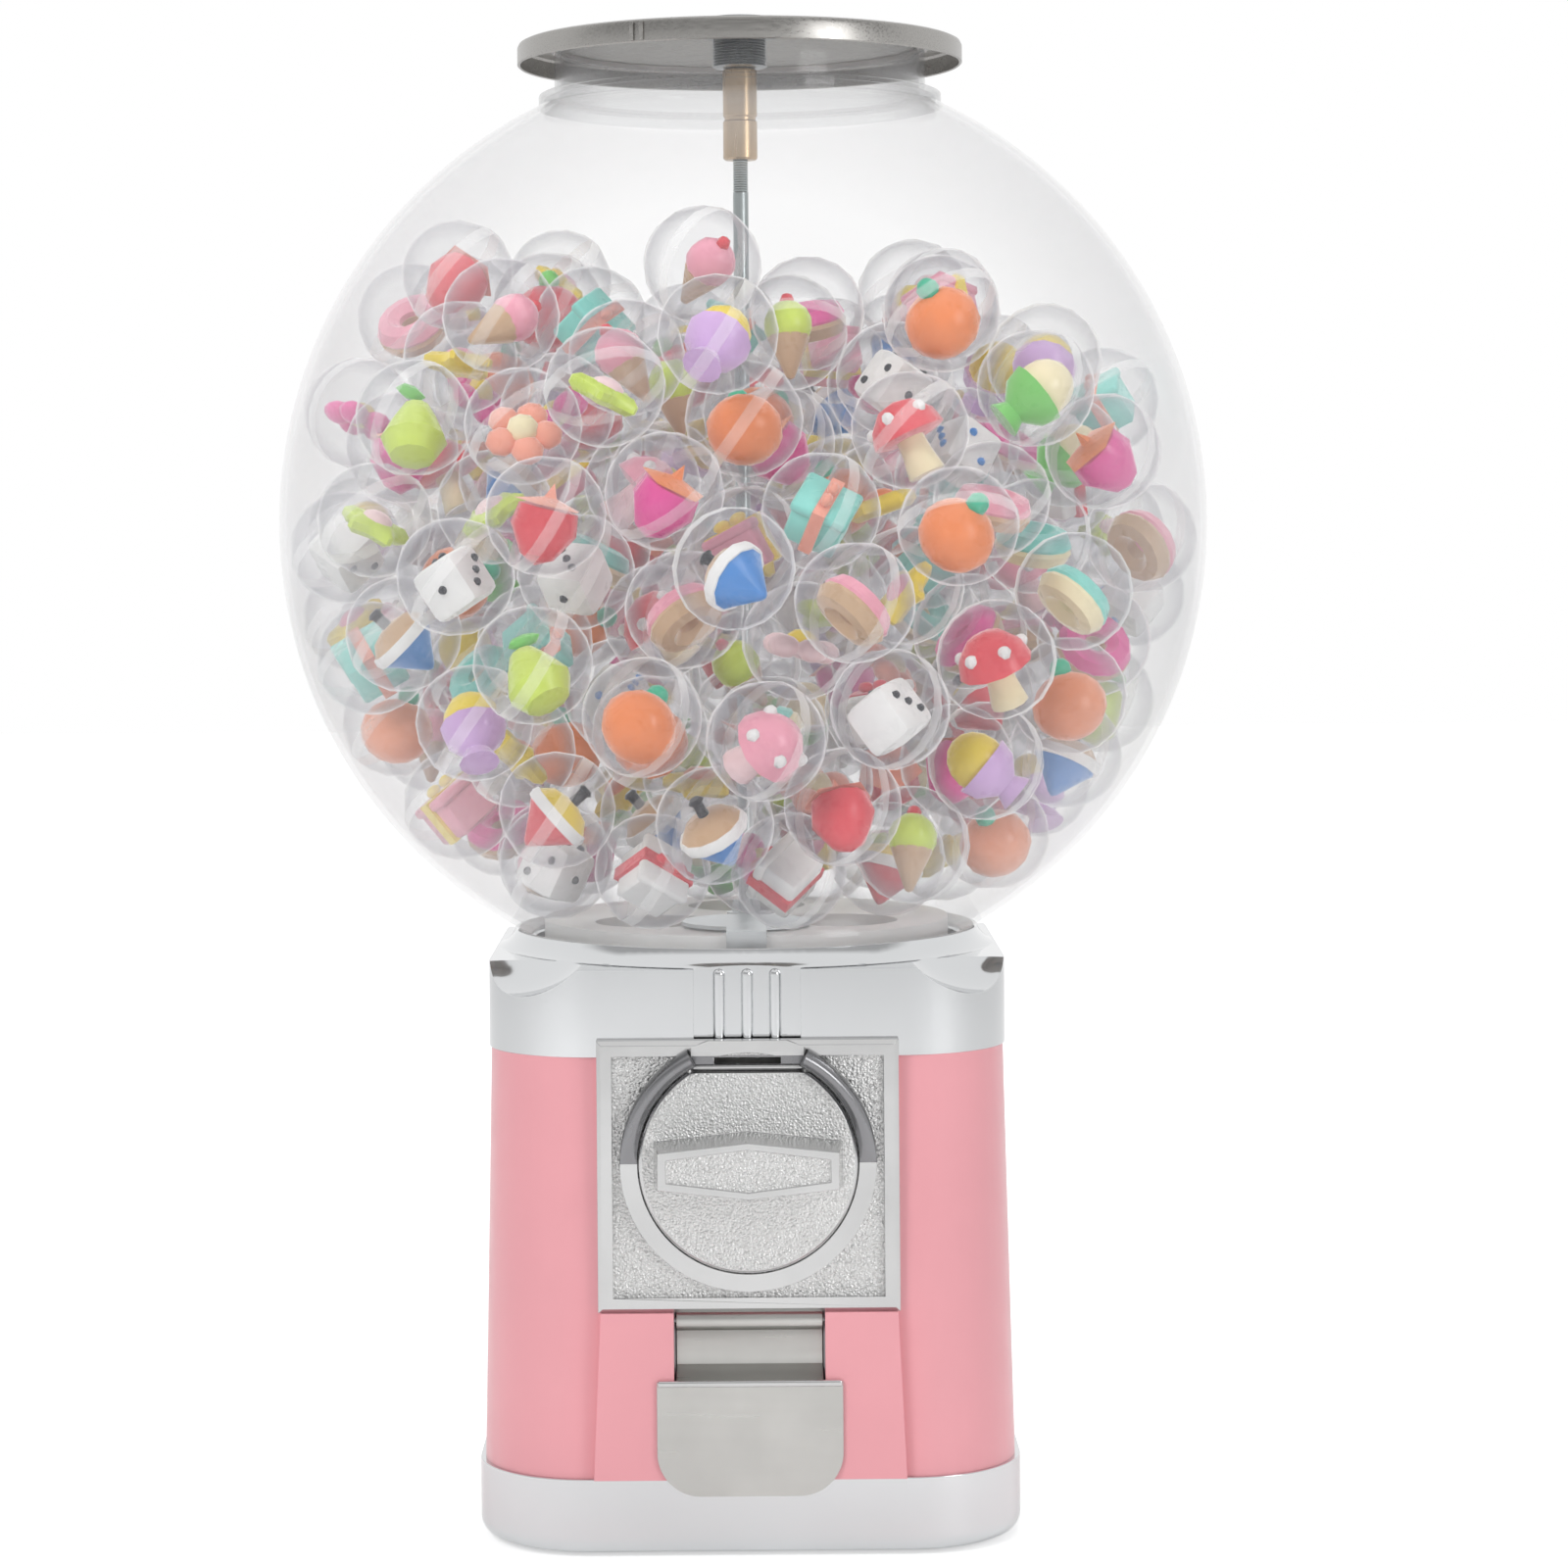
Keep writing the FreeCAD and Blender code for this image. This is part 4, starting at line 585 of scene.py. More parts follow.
class MACHINE_OT_lid(bpy.types.Operator):
    """Model the pressed steel lid, its lock barrel, lock core and clamp nut"""
    bl_idname = "capsule_machine.lid"
    bl_label = "Lid and lock"

    def execute(self, context):
        low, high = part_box("lid_cover")
        barrel_low, barrel_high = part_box("lock_barrel")
        radius = high.x
        sheet, corner, corner_mid = 0.0012, 0.0022, 0.0007
        under = low.z + 0.0094
        hole, hub, crown = 0.01156, 0.0235, 0.070
        profile = [
            (radius - sheet, low.z + 0.0004), (radius - sheet * 0.5, low.z), (radius, low.z + 0.0005),
            (radius, under - corner), (radius - corner_mid, under - corner_mid), (radius - corner, under),
            (crown + 0.002, under), (crown, under + 0.0003), (hub + 0.001, high.z - 0.0002), (hub, high.z),
            (hole, high.z), (hole, high.z - sheet), (hub, high.z - sheet), (crown, under - sheet),
            (radius - corner, under - sheet), (radius - sheet, under - corner),
        ]
        lid = turned("lid_disc", profile + profile[:1], steps=144)
        lugs = []
        lug_half = 0.0009
        for across in (-0.0021, 0.0021):
            lug = bar("lid_lug", (across - lug_half, -radius - lug_half, low.z + 0.0008),
                      (across + lug_half, -radius + 0.0006, under - sheet), 0.0003)
            lug.rotation_euler = (0.0, 0.0, math.radians(-26.0))
            lugs.append(settle(lug, "lid_lug"))
        lid = join([lid] + lugs, "lid_disc")
        smooth(lid, 30.0)
        paint(lid, finish("brushed_steel"))
        fit(lid, "lid", "stainless", "lid_cover")

        bore, plug_bore, plug_depth, flange_radius = 0.0028, 0.00606, 0.0098, 0.0145
        pitch, chamfer = 0.0012, 0.0008
        thread = [(bore, barrel_low.z), (0.0100, barrel_low.z)]
        height = barrel_low.z + pitch / 2.0
        while height < high.z - 0.0020:
            thread += [(0.0115, height), (0.0106, height + pitch / 2.0)]
            height += pitch
        flange = barrel_high.z
        thread += [
            (0.0113, high.z), (flange_radius, high.z), (flange_radius, flange - chamfer),
            (flange_radius - chamfer, flange), (plug_bore, flange), (plug_bore, flange - plug_depth),
            (bore, flange - plug_depth), (bore, barrel_low.z),
        ]
        barrel = turned("lock_body", thread, steps=64)
        smooth(barrel, 50.0)
        paint(barrel, finish("grey_lock"))
        fit(barrel, "lid", "steel", "lock_barrel")
        for node, name, body in (
            ("lock_core", "lock_plug", "lock"), ("lock_nut", "lock_clamp_nut", "lid"),
        ):
            piece = node_copy(node, name, 0.0003)
            paint(piece, finish("grey_lock"))
            fit(piece, body, "steel", node)
        return {"FINISHED"}


class MACHINE_OT_rod(bpy.types.Operator):
    """Model the brass sleeve and the centre rod with its threaded ends"""
    bl_idname = "capsule_machine.rod"
    bl_label = "Centre rod"

    def execute(self, context):
        low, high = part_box("rod_sleeve")
        outer, bolt_bore, rod_bore = high.x, 0.0028, 0.00323
        groove, chamfer, grip = 0.0006, 0.0008, 0.016
        waist = low.z + (high.z - low.z) * 0.42
        profile = [
            (rod_bore, low.z), (outer - chamfer, low.z), (outer, low.z + chamfer), (outer, waist),
            (outer - groove, waist + groove), (outer - groove, waist + groove * 3),
            (outer, waist + groove * 4), (outer, high.z - chamfer), (outer - chamfer, high.z),
            (bolt_bore, high.z), (bolt_bore, low.z + grip), (rod_bore, low.z + grip), (rod_bore, low.z),
        ]
        sleeve = turned("brass_coupler", profile, steps=48)
        smooth(sleeve, 35.0)
        paint(sleeve, finish("brass"))
        fit(sleeve, "stand", "brass", "rod_sleeve")

        low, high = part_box("centre_rod")
        radius = high.x
        profile = [(0.0, low.z), (radius - 0.0006, low.z)]
        pitch, thread_depth = 0.001, 0.00035
        for start, end in ((low.z, low.z + 0.018), (high.z - 0.030, high.z - 0.001)):
            if start > low.z:
                profile.append((radius, start))
            height = start + pitch / 2.0
            while height < end:
                profile += [(radius, height), (radius - thread_depth, height + pitch / 2.0)]
                height += pitch
        profile += [(radius - 0.0005, high.z), (0.0, high.z)]
        rod = turned("clamp_rod", profile, steps=24)
        smooth(rod, 60.0)
        paint(rod, finish("drawn_steel"))
        fit(rod, "stand", "steel", "centre_rod")
        return {"FINISHED"}


# The cabinet

class MACHINE_OT_cabinet(bpy.types.Operator):
    """Round and finish the enamelled body, the chromed cap and the chromed base"""
    bl_idname = "capsule_machine.cabinet"
    bl_label = "Cabinet"

    def execute(self, context):
        sizes = context.scene.capsule_machine
        for node, name, material, slot, width in (
            ("body_shell", "body_enamel", "pink_enamel", "pink_paint", sizes.cast_round),
            ("top_cap", "cap_casting", "chrome_plate", "chrome", sizes.cast_round * 1.6),
            ("base_pan", "base_casting", "chrome_plate", "chrome", sizes.cast_round),
        ):
            piece = node_copy(node, name, width, 28.0, 3)
            paint(piece, finish(material))
            fit(piece, "stand", slot, node)
        return {"FINISHED"}


class MACHINE_OT_coin_plate(bpy.types.Operator):
    """Round the cast coin plate, dome its two horns, add the coin slot's lip and stipple its panel"""
    bl_idname = "capsule_machine.coin_plate"
    bl_label = "Coin plate"

    slot_half = 0.022
    panel_sunk = 0.004
    ring_rise = 0.003
    ring_width = 0.0068
    horn_height = 0.0093
    recess_depth = 0.0016

    def horn(self, side, centre, inner, outer, base, tip_height):
        """A domed guard that rises along the ring from beside the knob to the coin slot."""
        middle, half = (inner + outer) / 2.0, (outer - inner) / 2.0
        sunk, arc_steps, foot = 0.002, 10, 0.03
        section = [Vector((side * outer, base + sunk, centre.z))]
        for i in range(arc_steps + 1):
            angle = math.pi * i / arc_steps
            across = side * (middle + half * math.cos(angle))
            section.append(Vector((across, base - tip_height * math.sin(angle) ** 0.7, centre.z)))
        section.append(Vector((side * inner, base + sunk, centre.z)))
        horn = drawn("horn", section)
        sweep = math.pi / 2.0 - math.asin(self.slot_half / middle)
        bpy.ops.mesh.spin(steps=28, angle=side * sweep, center=centre, axis=(0.0, 1.0, 0.0))
        close(horn)
        for vertex in horn.data.vertices:
            turn = math.atan2(vertex.co.z - centre.z, side * vertex.co.x)
            rise = foot + (1.0 - foot) * min(1.0, max(0.0, turn / sweep)) ** 0.8
            if vertex.co.y < base:
                vertex.co.y = base + (vertex.co.y - base) * rise
        pick(horn, "VERT", lambda v: math.atan2(v.co.z - centre.z, side * v.co.x) > sweep - 1e-3)
        bpy.ops.mesh.edge_face_add()
        close(horn)
        return clean(horn)

    def execute(self, context):
        sizes = context.scene.capsule_machine
        plate = node_copy("coin_plate", "coin_plate_casting", sizes.cast_round, 28.0, 3)
        knob_low, knob_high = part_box("coin_knob")
        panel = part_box("coin_plate")[1].y - self.panel_sunk
        ring = panel - self.ring_rise
        inner = knob_high.x + 0.0005
        outer = inner + self.ring_width
        centre = Vector((0.0, 0.0, knob_low.z + knob_high.x))
        pick(plate, "VERT", lambda v: v.co.y < ring - 0.0001)
        bpy.ops.mesh.delete(type="VERT")
        close(plate)
        paint(plate, finish("cast_chrome"), finish("stippled_chrome"), finish("painted_shade_reflection_chrome"))
        # Index 1 stipples the sunk panel. Index 2 gives the floor of the coin slot's recess the dark
        # chrome, which is painted shade in the recess.
        for index, plane in ((1, panel), (2, panel + self.recess_depth)):
            paint_faces(plate, index, lambda f: faces_front(f, plane))
        over = 0.0001
        extras = [
            self.horn(side, centre, inner - over, outer + over, ring + 0.0003, self.horn_height)
            for side in (-1, 1)
        ]
        lip_half = self.slot_half - 0.0003
        extras.append(bar(
            "slot_lip", (-lip_half, panel - over, knob_high.z + 0.0002),
            (lip_half, panel + 0.0018, knob_high.z + 0.0025), 0.0008, 3,
        ))
        # The two horns take the dark chrome, a painted reflection of dark surroundings. The slot lip keeps
        # the cast chrome.
        for extra, material in zip(extras, ("painted_shade_reflection_chrome", "painted_shade_reflection_chrome", "cast_chrome")):
            smooth(paint(extra, finish(material)), 40.0)
        plate = join([plate] + extras, "coin_plate_casting")
        fit(plate, "stand", "cast_metal", "coin_plate")
        return {"FINISHED"}


class MACHINE_OT_knob(bpy.types.Operator):
    """Round the turning knob and stipple its disc and its handle"""
    bl_idname = "capsule_machine.knob"
    bl_label = "Coin knob"

    def execute(self, context):
        sizes = context.scene.capsule_machine
        knob = node_copy("coin_knob", "turn_knob", sizes.cast_round, 20.0, 3)
        low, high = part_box("coin_knob")
        paint(knob, finish("cast_chrome"), finish("stippled_chrome"))
        disc_thick, handle_dish = 0.0044, 0.0008
        for plane in (high.y - disc_thick, low.y + handle_dish):
            paint_faces(knob, 1, lambda f: faces_front(f, plane))
        fit(knob, "knob", "cast_metal", "coin_knob")
        return {"FINISHED"}


class MACHINE_OT_flap(bpy.types.Operator):
    """Round the stainless prize flap and add its rolled lip"""
    bl_idname = "capsule_machine.flap"
    bl_label = "Prize flap"

    def execute(self, context):
        sizes = context.scene.capsule_machine
        flap = node_copy("flap_door", "prize_flap", sizes.sheet_round, 30.0, 2)
        low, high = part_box("flap_door")
        hinge = next(j for j in frame["joints"] if j["name"] == "flap_swing")
        fold_drop, roll, inset = 0.022, 0.0009, 0.0002
        fold = Vector(hinge["pos_m"]).z - fold_drop
        lip = bar("flap_lip", (low.x + inset, low.y - roll, fold - 0.0020),
                  (high.x - inset, low.y + 0.0010, fold + 0.0006), roll, 3)
        paint(flap, finish("satin_steel"))
        # The rolled lip takes the cast chrome instead of the flap's satin steel. Its smoother finish gives
        # a real sharper gloss. Its brighter colour is a painted highlight along the fold.
        flap = join([flap, smooth(paint(lip, finish("cast_chrome")), 40.0)], "prize_flap")
        fit(flap, "flap", "stainless", "flap_door")
        return {"FINISHED"}


class MACHINE_OT_mechanism(bpy.types.Operator):
    """Finish the pieces inside the cabinet"""
    bl_idname = "capsule_machine.mechanism"
    bl_label = "Mechanism"

    finishes = {
        "rubber_feet": "black_rubber",
        "foot_screws": "zinc_sheet",
        "globe_gasket": "clear_seal",
        "neck_gasket": "clear_seal",
        "rod_washers": "zinc_sheet",
        "rod_nuts": "zinc_sheet",
        "wheel_bush": "brass",
        "hopper_plate": "pale_nylon",
        "dispensing_wheel": "pale_nylon",
        "crown_gear": "pale_nylon",
        "drop_guard": "zinc_sheet",
        "guard_screws": "zinc_sheet",
        "plate_studs": "zinc_sheet",
        "plate_nuts": "zinc_sheet",
        "knob_shaft": "drawn_steel",
        "coin_carrier": "zinc_sheet",
        "ratchet_wheel": "zinc_sheet",
        "drive_pinion": "pale_nylon",
        "mech_frame": "zinc_sheet",
        "frame_screws": "zinc_sheet",
        "shaft_bush": "brass",
        "shaft_clip": "drawn_steel",
        "pawl_spring": "drawn_steel",
        "flap_pin": "drawn_steel",
        "prize_chute": "grey_moulding",
        "coin_slide": "zinc_sheet",
        "coin_box": "zinc_sheet",
    }

    def execute(self, context):
        for node, name in self.finishes.items():
            paint(frame["nodes"][node], finish(name))
        return {"FINISHED"}


# The capsules and the toys in them

def solids(node):
    """The corners of each separate solid in a CAD node, as arrays of points."""
    mesh = frame["nodes"][node].data
    points = np.empty(len(mesh.vertices) * 3)
    mesh.vertices.foreach_get("co", points)
    points = points.reshape(-1, 3)
    _, corner = np.unique(np.round(points * 1e6).astype(np.int64), axis=0, return_inverse=True)
    corner = corner.reshape(-1)
    mesh.calc_loop_triangles()
    faces = np.empty(len(mesh.loop_triangles) * 3, np.int64)
    mesh.loop_triangles.foreach_get("vertices", faces)
    faces = corner[faces.reshape(-1, 3)]
    label = np.arange(corner.max() + 1)
    while True:
        lowest = label[faces].min(axis=1)
        fresh = label.copy()
        for side in range(3):
            np.minimum.at(fresh, faces[:, side], lowest)
        fresh = fresh[fresh]
        if (fresh == label).all():
            break
        label = fresh
    owner = label[corner]
    return [points[owner == each] for each in np.unique(owner)]


def sphere_centre(points):
    """The centre of the sphere that a half shell's outer face lies on."""
    chosen = points
    for _ in range(2):
        table = np.column_stack((2.0 * chosen, np.ones(len(chosen))))
        answer = np.linalg.lstsq(table, (chosen ** 2).sum(axis=1), rcond=None)[0]
        centre = answer[:3]
        reach = np.linalg.norm(points - centre, axis=1)
        chosen = points[reach > (reach.max() + np.median(reach)) / 2.0 - 2e-4]
    return centre


def capsule_spots():
    """Centre and turn of each capsule, read from the CAD lids."""
    spots = []
    for points in solids("capsule_lids"):
        centre = sphere_centre(points)
        axis = points.mean(axis=0) - centre
        turn = Vector(axis).normalized().to_track_quat("Z", "Y")
        spots.append((Vector(centre), turn))
    return spots


def copies(proto, places):
    """Copy a modelled shape to each place, each copy with its own mesh."""
    made = []
    for place in places:
        mesh = proto.data.copy()
        mesh.transform(place)
        obj = bpy.data.objects.new(proto.name, mesh)
        bpy.context.scene.collection.objects.link(obj)
        made.append(obj)
    return made


def discard(obj):
    mesh = obj.data
    bpy.data.objects.remove(obj)
    bpy.data.meshes.remove(mesh)


class MACHINE_OT_capsules(bpy.types.Operator):
    """Model one clear lid and one clear cup and copy them to every capsule"""
    bl_idname = "capsule_machine.capsules"
    bl_label = "Capsules"

    def execute(self, context):
        radius, band = 0.02345, 0.0024
        rim = radius - 0.0001
        places = [
            Matrix.Translation(centre) @ turn.to_matrix().to_4x4() for centre, turn in capsule_spots()
        ]
        for node, name, sign, inset in (
            ("capsule_lids", "capsule_tops", 1.0, 0.0),
            ("capsule_cups", "capsule_bottoms", -1.0, 0.0006),
        ):
            skin = radius - inset
            profile = [(rim, 0.0), (rim, sign * band)]
            for degrees in (14.0, 34.0, 54.0, 74.0):
                angle = math.radians(degrees)
                profile.append((skin * math.cos(angle), sign * skin * math.sin(angle)))
            profile.append((0.0, sign * skin))
            half = turned(name, profile, steps=18)
            paint(half, finish("clear_capsule"), finish("capsule_band"))
            paint_faces(half, 1, lambda f: abs(f.center.z) < 0.0014)
            smooth(half, 50.0)
            shells = join(copies(half, places), name)
            discard(half)
            shells.visible_shadow = False
            shells.visible_glossy = False
            fit(shells, "stand", "capsule_clear", node)
        return {"FINISHED"}


def turned_toy(name, size, profile, colour, steps):
    """Spin a profile that is given as shares of the toy's size."""
    toy = turned(name, [(radius * size, height * size) for radius, height in profile], steps)
    return paint(toy, finish(colour))


def fruit(size, skin, leaf):
    body = ball("toy_fruit", size * 0.92, (0, 0, -size * 0.08), 12, 8, (1.0, 1.0, 0.9))
    knob = ball("toy_knob", size * 0.28, (size * 0.25, 0, size * 0.80), 8, 5)
    return [paint(body, finish(skin)), paint(knob, finish(leaf))]


def berry(size, skin, leaf):
    body = turned_toy("toy_berry", size, [
        (0.0, -1.0), (0.40, -0.80), (0.78, -0.15), (0.70, 0.35), (0.0, 0.55),
    ], skin, 10)
    crown = turned_toy("toy_crown", size, [
        (0.0, 0.95), (0.16, 0.60), (0.85, 0.42), (0.0, 0.50),
    ], leaf, 5)
    return [body, crown]


def pear(size, skin, leaf):
    body = turned_toy("toy_pear", size, [
        (0.0, -1.0), (0.55, -0.88), (0.80, -0.42), (0.55, 0.15), (0.32, 0.55), (0.0, 0.72),
    ], skin, 10)
    stalk = ball("toy_stalk", size * 0.30, (size * 0.2, 0, size * 0.86), 6, 4, (1.5, 0.7, 0.5))
    return [body, paint(stalk, finish(leaf))]


def die(size, skin, pips):
    half = size * 0.66
    body = bar("toy_die", (-half, -half, -half), (half, half, half), half * 0.34, 2)
    parts = [paint(body, finish(skin))]
    for spot in (
        (0.4, -1, 0.4), (-0.4, -1, -0.4), (1, 0, 0), (0.4, 0.4, 1), (-0.4, -0.4, 1), (0, 0, 1),
    ):
        pip = ball("toy_pip", half * 0.17, Vector(spot) * half, 6, 4)
        parts.append(paint(pip, finish(pips)))
    return parts


def parcel(size, skin, ribbon):
    half = size * 0.64
    parts = []
    for name, low, high, bevel, colour in (
        ("toy_parcel", (-1.0, -1.0, -0.8), (1.0, 1.0, 0.7), 0.12, skin),
        ("toy_parcel_lid", (-1.1, -1.1, 0.6), (1.1, 1.1, 1.0), 0.1, skin),
        ("toy_band", (-0.25, -1.16, -0.82), (0.25, 1.16, 1.06), 0.0, ribbon),
    ):
        box = bar(name, Vector(low) * half, Vector(high) * half, bevel * half, 1)
        parts.append(paint(box, finish(colour)))
    for side in (-1, 1):
        bow = ball("toy_bow", half * 0.36, (0, side * half * 0.36, half * 1.22), 8, 5, (0.6, 1.0, 0.6))
        parts.append(paint(bow, finish(ribbon)))
    return parts


def star(size, skin, middle):
    deselect()
    bpy.ops.mesh.primitive_circle_add(
        vertices=10, radius=size, fill_type="NGON", location=(0, 0, -size * 0.22),
    )
    body = settle(bpy.context.object, "toy_star")
    for vertex in body.data.vertices:
        if vertex.index % 2:
            vertex.co.xy *= 0.52
    pick(body, "FACE", lambda f: True)
    bpy.ops.mesh.extrude_region_move(TRANSFORM_OT_translate={"value": (0, 0, size * 0.44)})
    close(body)
    clean(body)
    pick(body, "EDGE", lambda e: True)
    bpy.ops.mesh.bevel(offset=size * 0.13, segments=1, affect="EDGES")
    close(body)
    dome = ball("toy_dome", size * 0.42, (0, 0, size * 0.16), 10, 6, (1.0, 1.0, 0.6))
    return [paint(body, finish(skin)), paint(dome, finish(middle))]


def blossom(size, skin, middle):
    parts = []
    for i in range(5):
        angle = 2.0 * math.pi * i / 5.0
        spot = Vector((math.cos(angle), math.sin(angle), 0.0)) * size * 0.56
        petal = ball("toy_petal", size * 0.40, spot, 8, 6, (1.0, 1.0, 0.7))
        parts.append(paint(petal, finish(skin)))
    dome = ball("toy_dome", size * 0.40, (0, 0, size * 0.14), 8, 6, (1.0, 1.0, 0.8))
    return parts + [paint(dome, finish(middle))]


def ring_cake(size, dough, icing):
    parts = []
    for name, lift, thick, colour in (
        ("toy_dough", -0.10, 0.36, dough), ("toy_icing", 0.07, 0.345, icing),
    ):
        deselect()
        bpy.ops.mesh.primitive_torus_add(
            major_segments=14, minor_segments=7, major_radius=size * 0.60,
            minor_radius=size * thick, location=(0, 0, size * lift),
        )
        parts.append(paint(settle(bpy.context.object, name), finish(colour)))
    return parts


def egg_cup(size, egg, cup):
    body = ball("toy_egg", size * 0.70, (0, 0, size * 0.22), 12, 8, (1.0, 1.0, 1.12))
    bowl = turned_toy("toy_cup", size, [
        (0.0, -1.0), (0.48, -0.98), (0.32, -0.66), (0.70, -0.30), (0.80, 0.10), (0.66, 0.06), (0.0, -0.2),
    ], cup, 12)
    return [paint(body, finish(egg)), bowl]


def toadstool(size, cap, stalk):
    top = turned_toy("toy_cap", size, [
        (0.0, 0.92), (0.45, 0.80), (0.80, 0.42), (0.90, 0.02), (0.60, -0.06), (0.0, 0.0),
    ], cap, 12)
    foot = turned_toy("toy_stalk", size, [
        (0.0, -1.0), (0.46, -0.96), (0.36, -0.4), (0.34, 0.05), (0.0, 0.1),
    ], stalk, 10)
    parts = [top, foot]
    for turn, rise in ((20.0, 0.50), (95.0, 0.35), (165.0, 0.55), (240.0, 0.38), (310.0, 0.52)):
        angle = math.radians(turn)
        reach = 0.95 - rise * 0.5
        spot = Vector((reach * math.cos(angle), reach * math.sin(angle), rise)) * size
        dot = ball("toy_dot", size * 0.17, spot, 6, 4)
        parts.append(paint(dot, finish("white")))
    return parts


def spinning_top(size, upper, lower):
    parts = []
    for name, colour, profile in (
        ("toy_point", lower, [(0.0, -1.0), (0.12, -0.92), (0.62, -0.30), (0.80, -0.10), (0.0, -0.05)]),
        ("toy_belt", "white", [(0.0, -0.12), (0.84, -0.12), (0.88, 0.02), (0.84, 0.16), (0.0, 0.16)]),
        ("toy_shoulder", upper, [(0.0, 0.12), (0.80, 0.14), (0.55, 0.42), (0.2, 0.52), (0.0, 0.52)]),
        ("toy_stem", "ink", [(0.14, 0.45), (0.14, 0.86), (0.2, 0.92), (0.12, 1.0), (0.0, 1.0)]),
    ):
        parts.append(turned_toy(name, size, profile, colour, 12))
    return parts


def ice_cone(size, scoop, wafer):
    cone = turned_toy("toy_wafer", size, [
        (0.0, -1.0), (0.10, -0.95), (0.52, 0.05), (0.40, 0.08), (0.0, 0.0),
    ], wafer, 10)
    cream = ball("toy_scoop", size * 0.60, (0, 0, size * 0.36), 10, 7)
    cherry = ball("toy_cherry", size * 0.18, (0, 0, size * 0.98), 6, 4)
    return [cone, paint(cream, finish(scoop)), paint(cherry, finish("scarlet"))]


TOYS = {
    "prize_fruits": (
        (fruit, "orange", "jade"), (berry, "magenta", "orange"), (pear, "lime", "leaf"),
        (fruit, "scarlet", "leaf"), (berry, "scarlet", "coral"), (fruit, "orange", "jade"),
    ),
    "prize_blocks": (
        (die, "white", "ink"), (parcel, "aqua", "coral"), (die, "white", "blue"),
        (parcel, "rose", "yellow"), (die, "white", "ink"), (parcel, "white", "scarlet"),
    ),
    "prize_stars": (
        (star, "yellow", "rose"), (blossom, "magenta", "yellow"), (star, "lime", "blush"),
        (blossom, "blush", "yellow"), (star, "yellow", "orange"), (blossom, "coral", "cream"),
    ),
    "prize_rings": (
        (egg_cup, "yellow", "lilac"), (ring_cake, "tan", "rose"), (egg_cup, "yellow", "lilac"),
        (ring_cake, "cream", "aqua"), (egg_cup, "cream", "leaf"), (ring_cake, "tan", "magenta"),
    ),
    "prize_cones": (
        (toadstool, "rose", "blush"), (spinning_top, "tan", "blue"), (ice_cone, "rose", "tan"),
        (toadstool, "scarlet", "cream"), (spinning_top, "yellow", "scarlet"), (ice_cone, "lime", "tan"),
    ),
}
TOY_SLOTS = {
    "prize_fruits": "prize_orange",
    "prize_blocks": "prize_white",
    "prize_stars": "prize_magenta",
    "prize_rings": "prize_green",
    "prize_cones": "prize_blue",
}
TOY_LEAN = 0.9
TOY_TURN = 6.28
TOY_SINK = Vector((0.0, 0.0, -0.003))


class MACHINE_OT_toys(bpy.types.Operator):
    """Model each kind of toy once and put one in every capsule"""
    bl_idname = "capsule_machine.toys"
    bl_label = "Toys"

    def execute(self, context):
        size = context.scene.capsule_machine.toy_radius
        spots = capsule_spots()
        chance = random.Random(11)
        for node, kinds in TOYS.items():
            protos = []
            for maker, first, second in kinds:
                proto = join(maker(size, first, second), "toy_pattern")
                smooth(proto, 45.0)
                protos.append(proto)
            places = [[] for _ in kinds]
            for i, points in enumerate(solids(node)):
                middle = Vector(points.mean(axis=0))
                centre, _ = min(spots, key=lambda spot: (spot[0] - middle).length)
                place = Matrix.Translation(centre + TOY_SINK)
                for axis, least, most in (
                    ("X", -TOY_LEAN, TOY_LEAN), ("Y", -TOY_LEAN, TOY_LEAN), ("Z", 0.0, TOY_TURN),
                ):
                    place = place @ Matrix.Rotation(chance.uniform(least, most), 4, axis)
                places[i % len(kinds)].append(place)
            made = []
            for proto, where in zip(protos, places):
                made += copies(proto, where)
            toys = join(made, node.replace("prize", "toy"))
            for proto in protos:
                discard(proto)
            toys.visible_glossy = False
            fit(toys, "stand", TOY_SLOTS[node], node)
        return {"FINISHED"}


# Stage

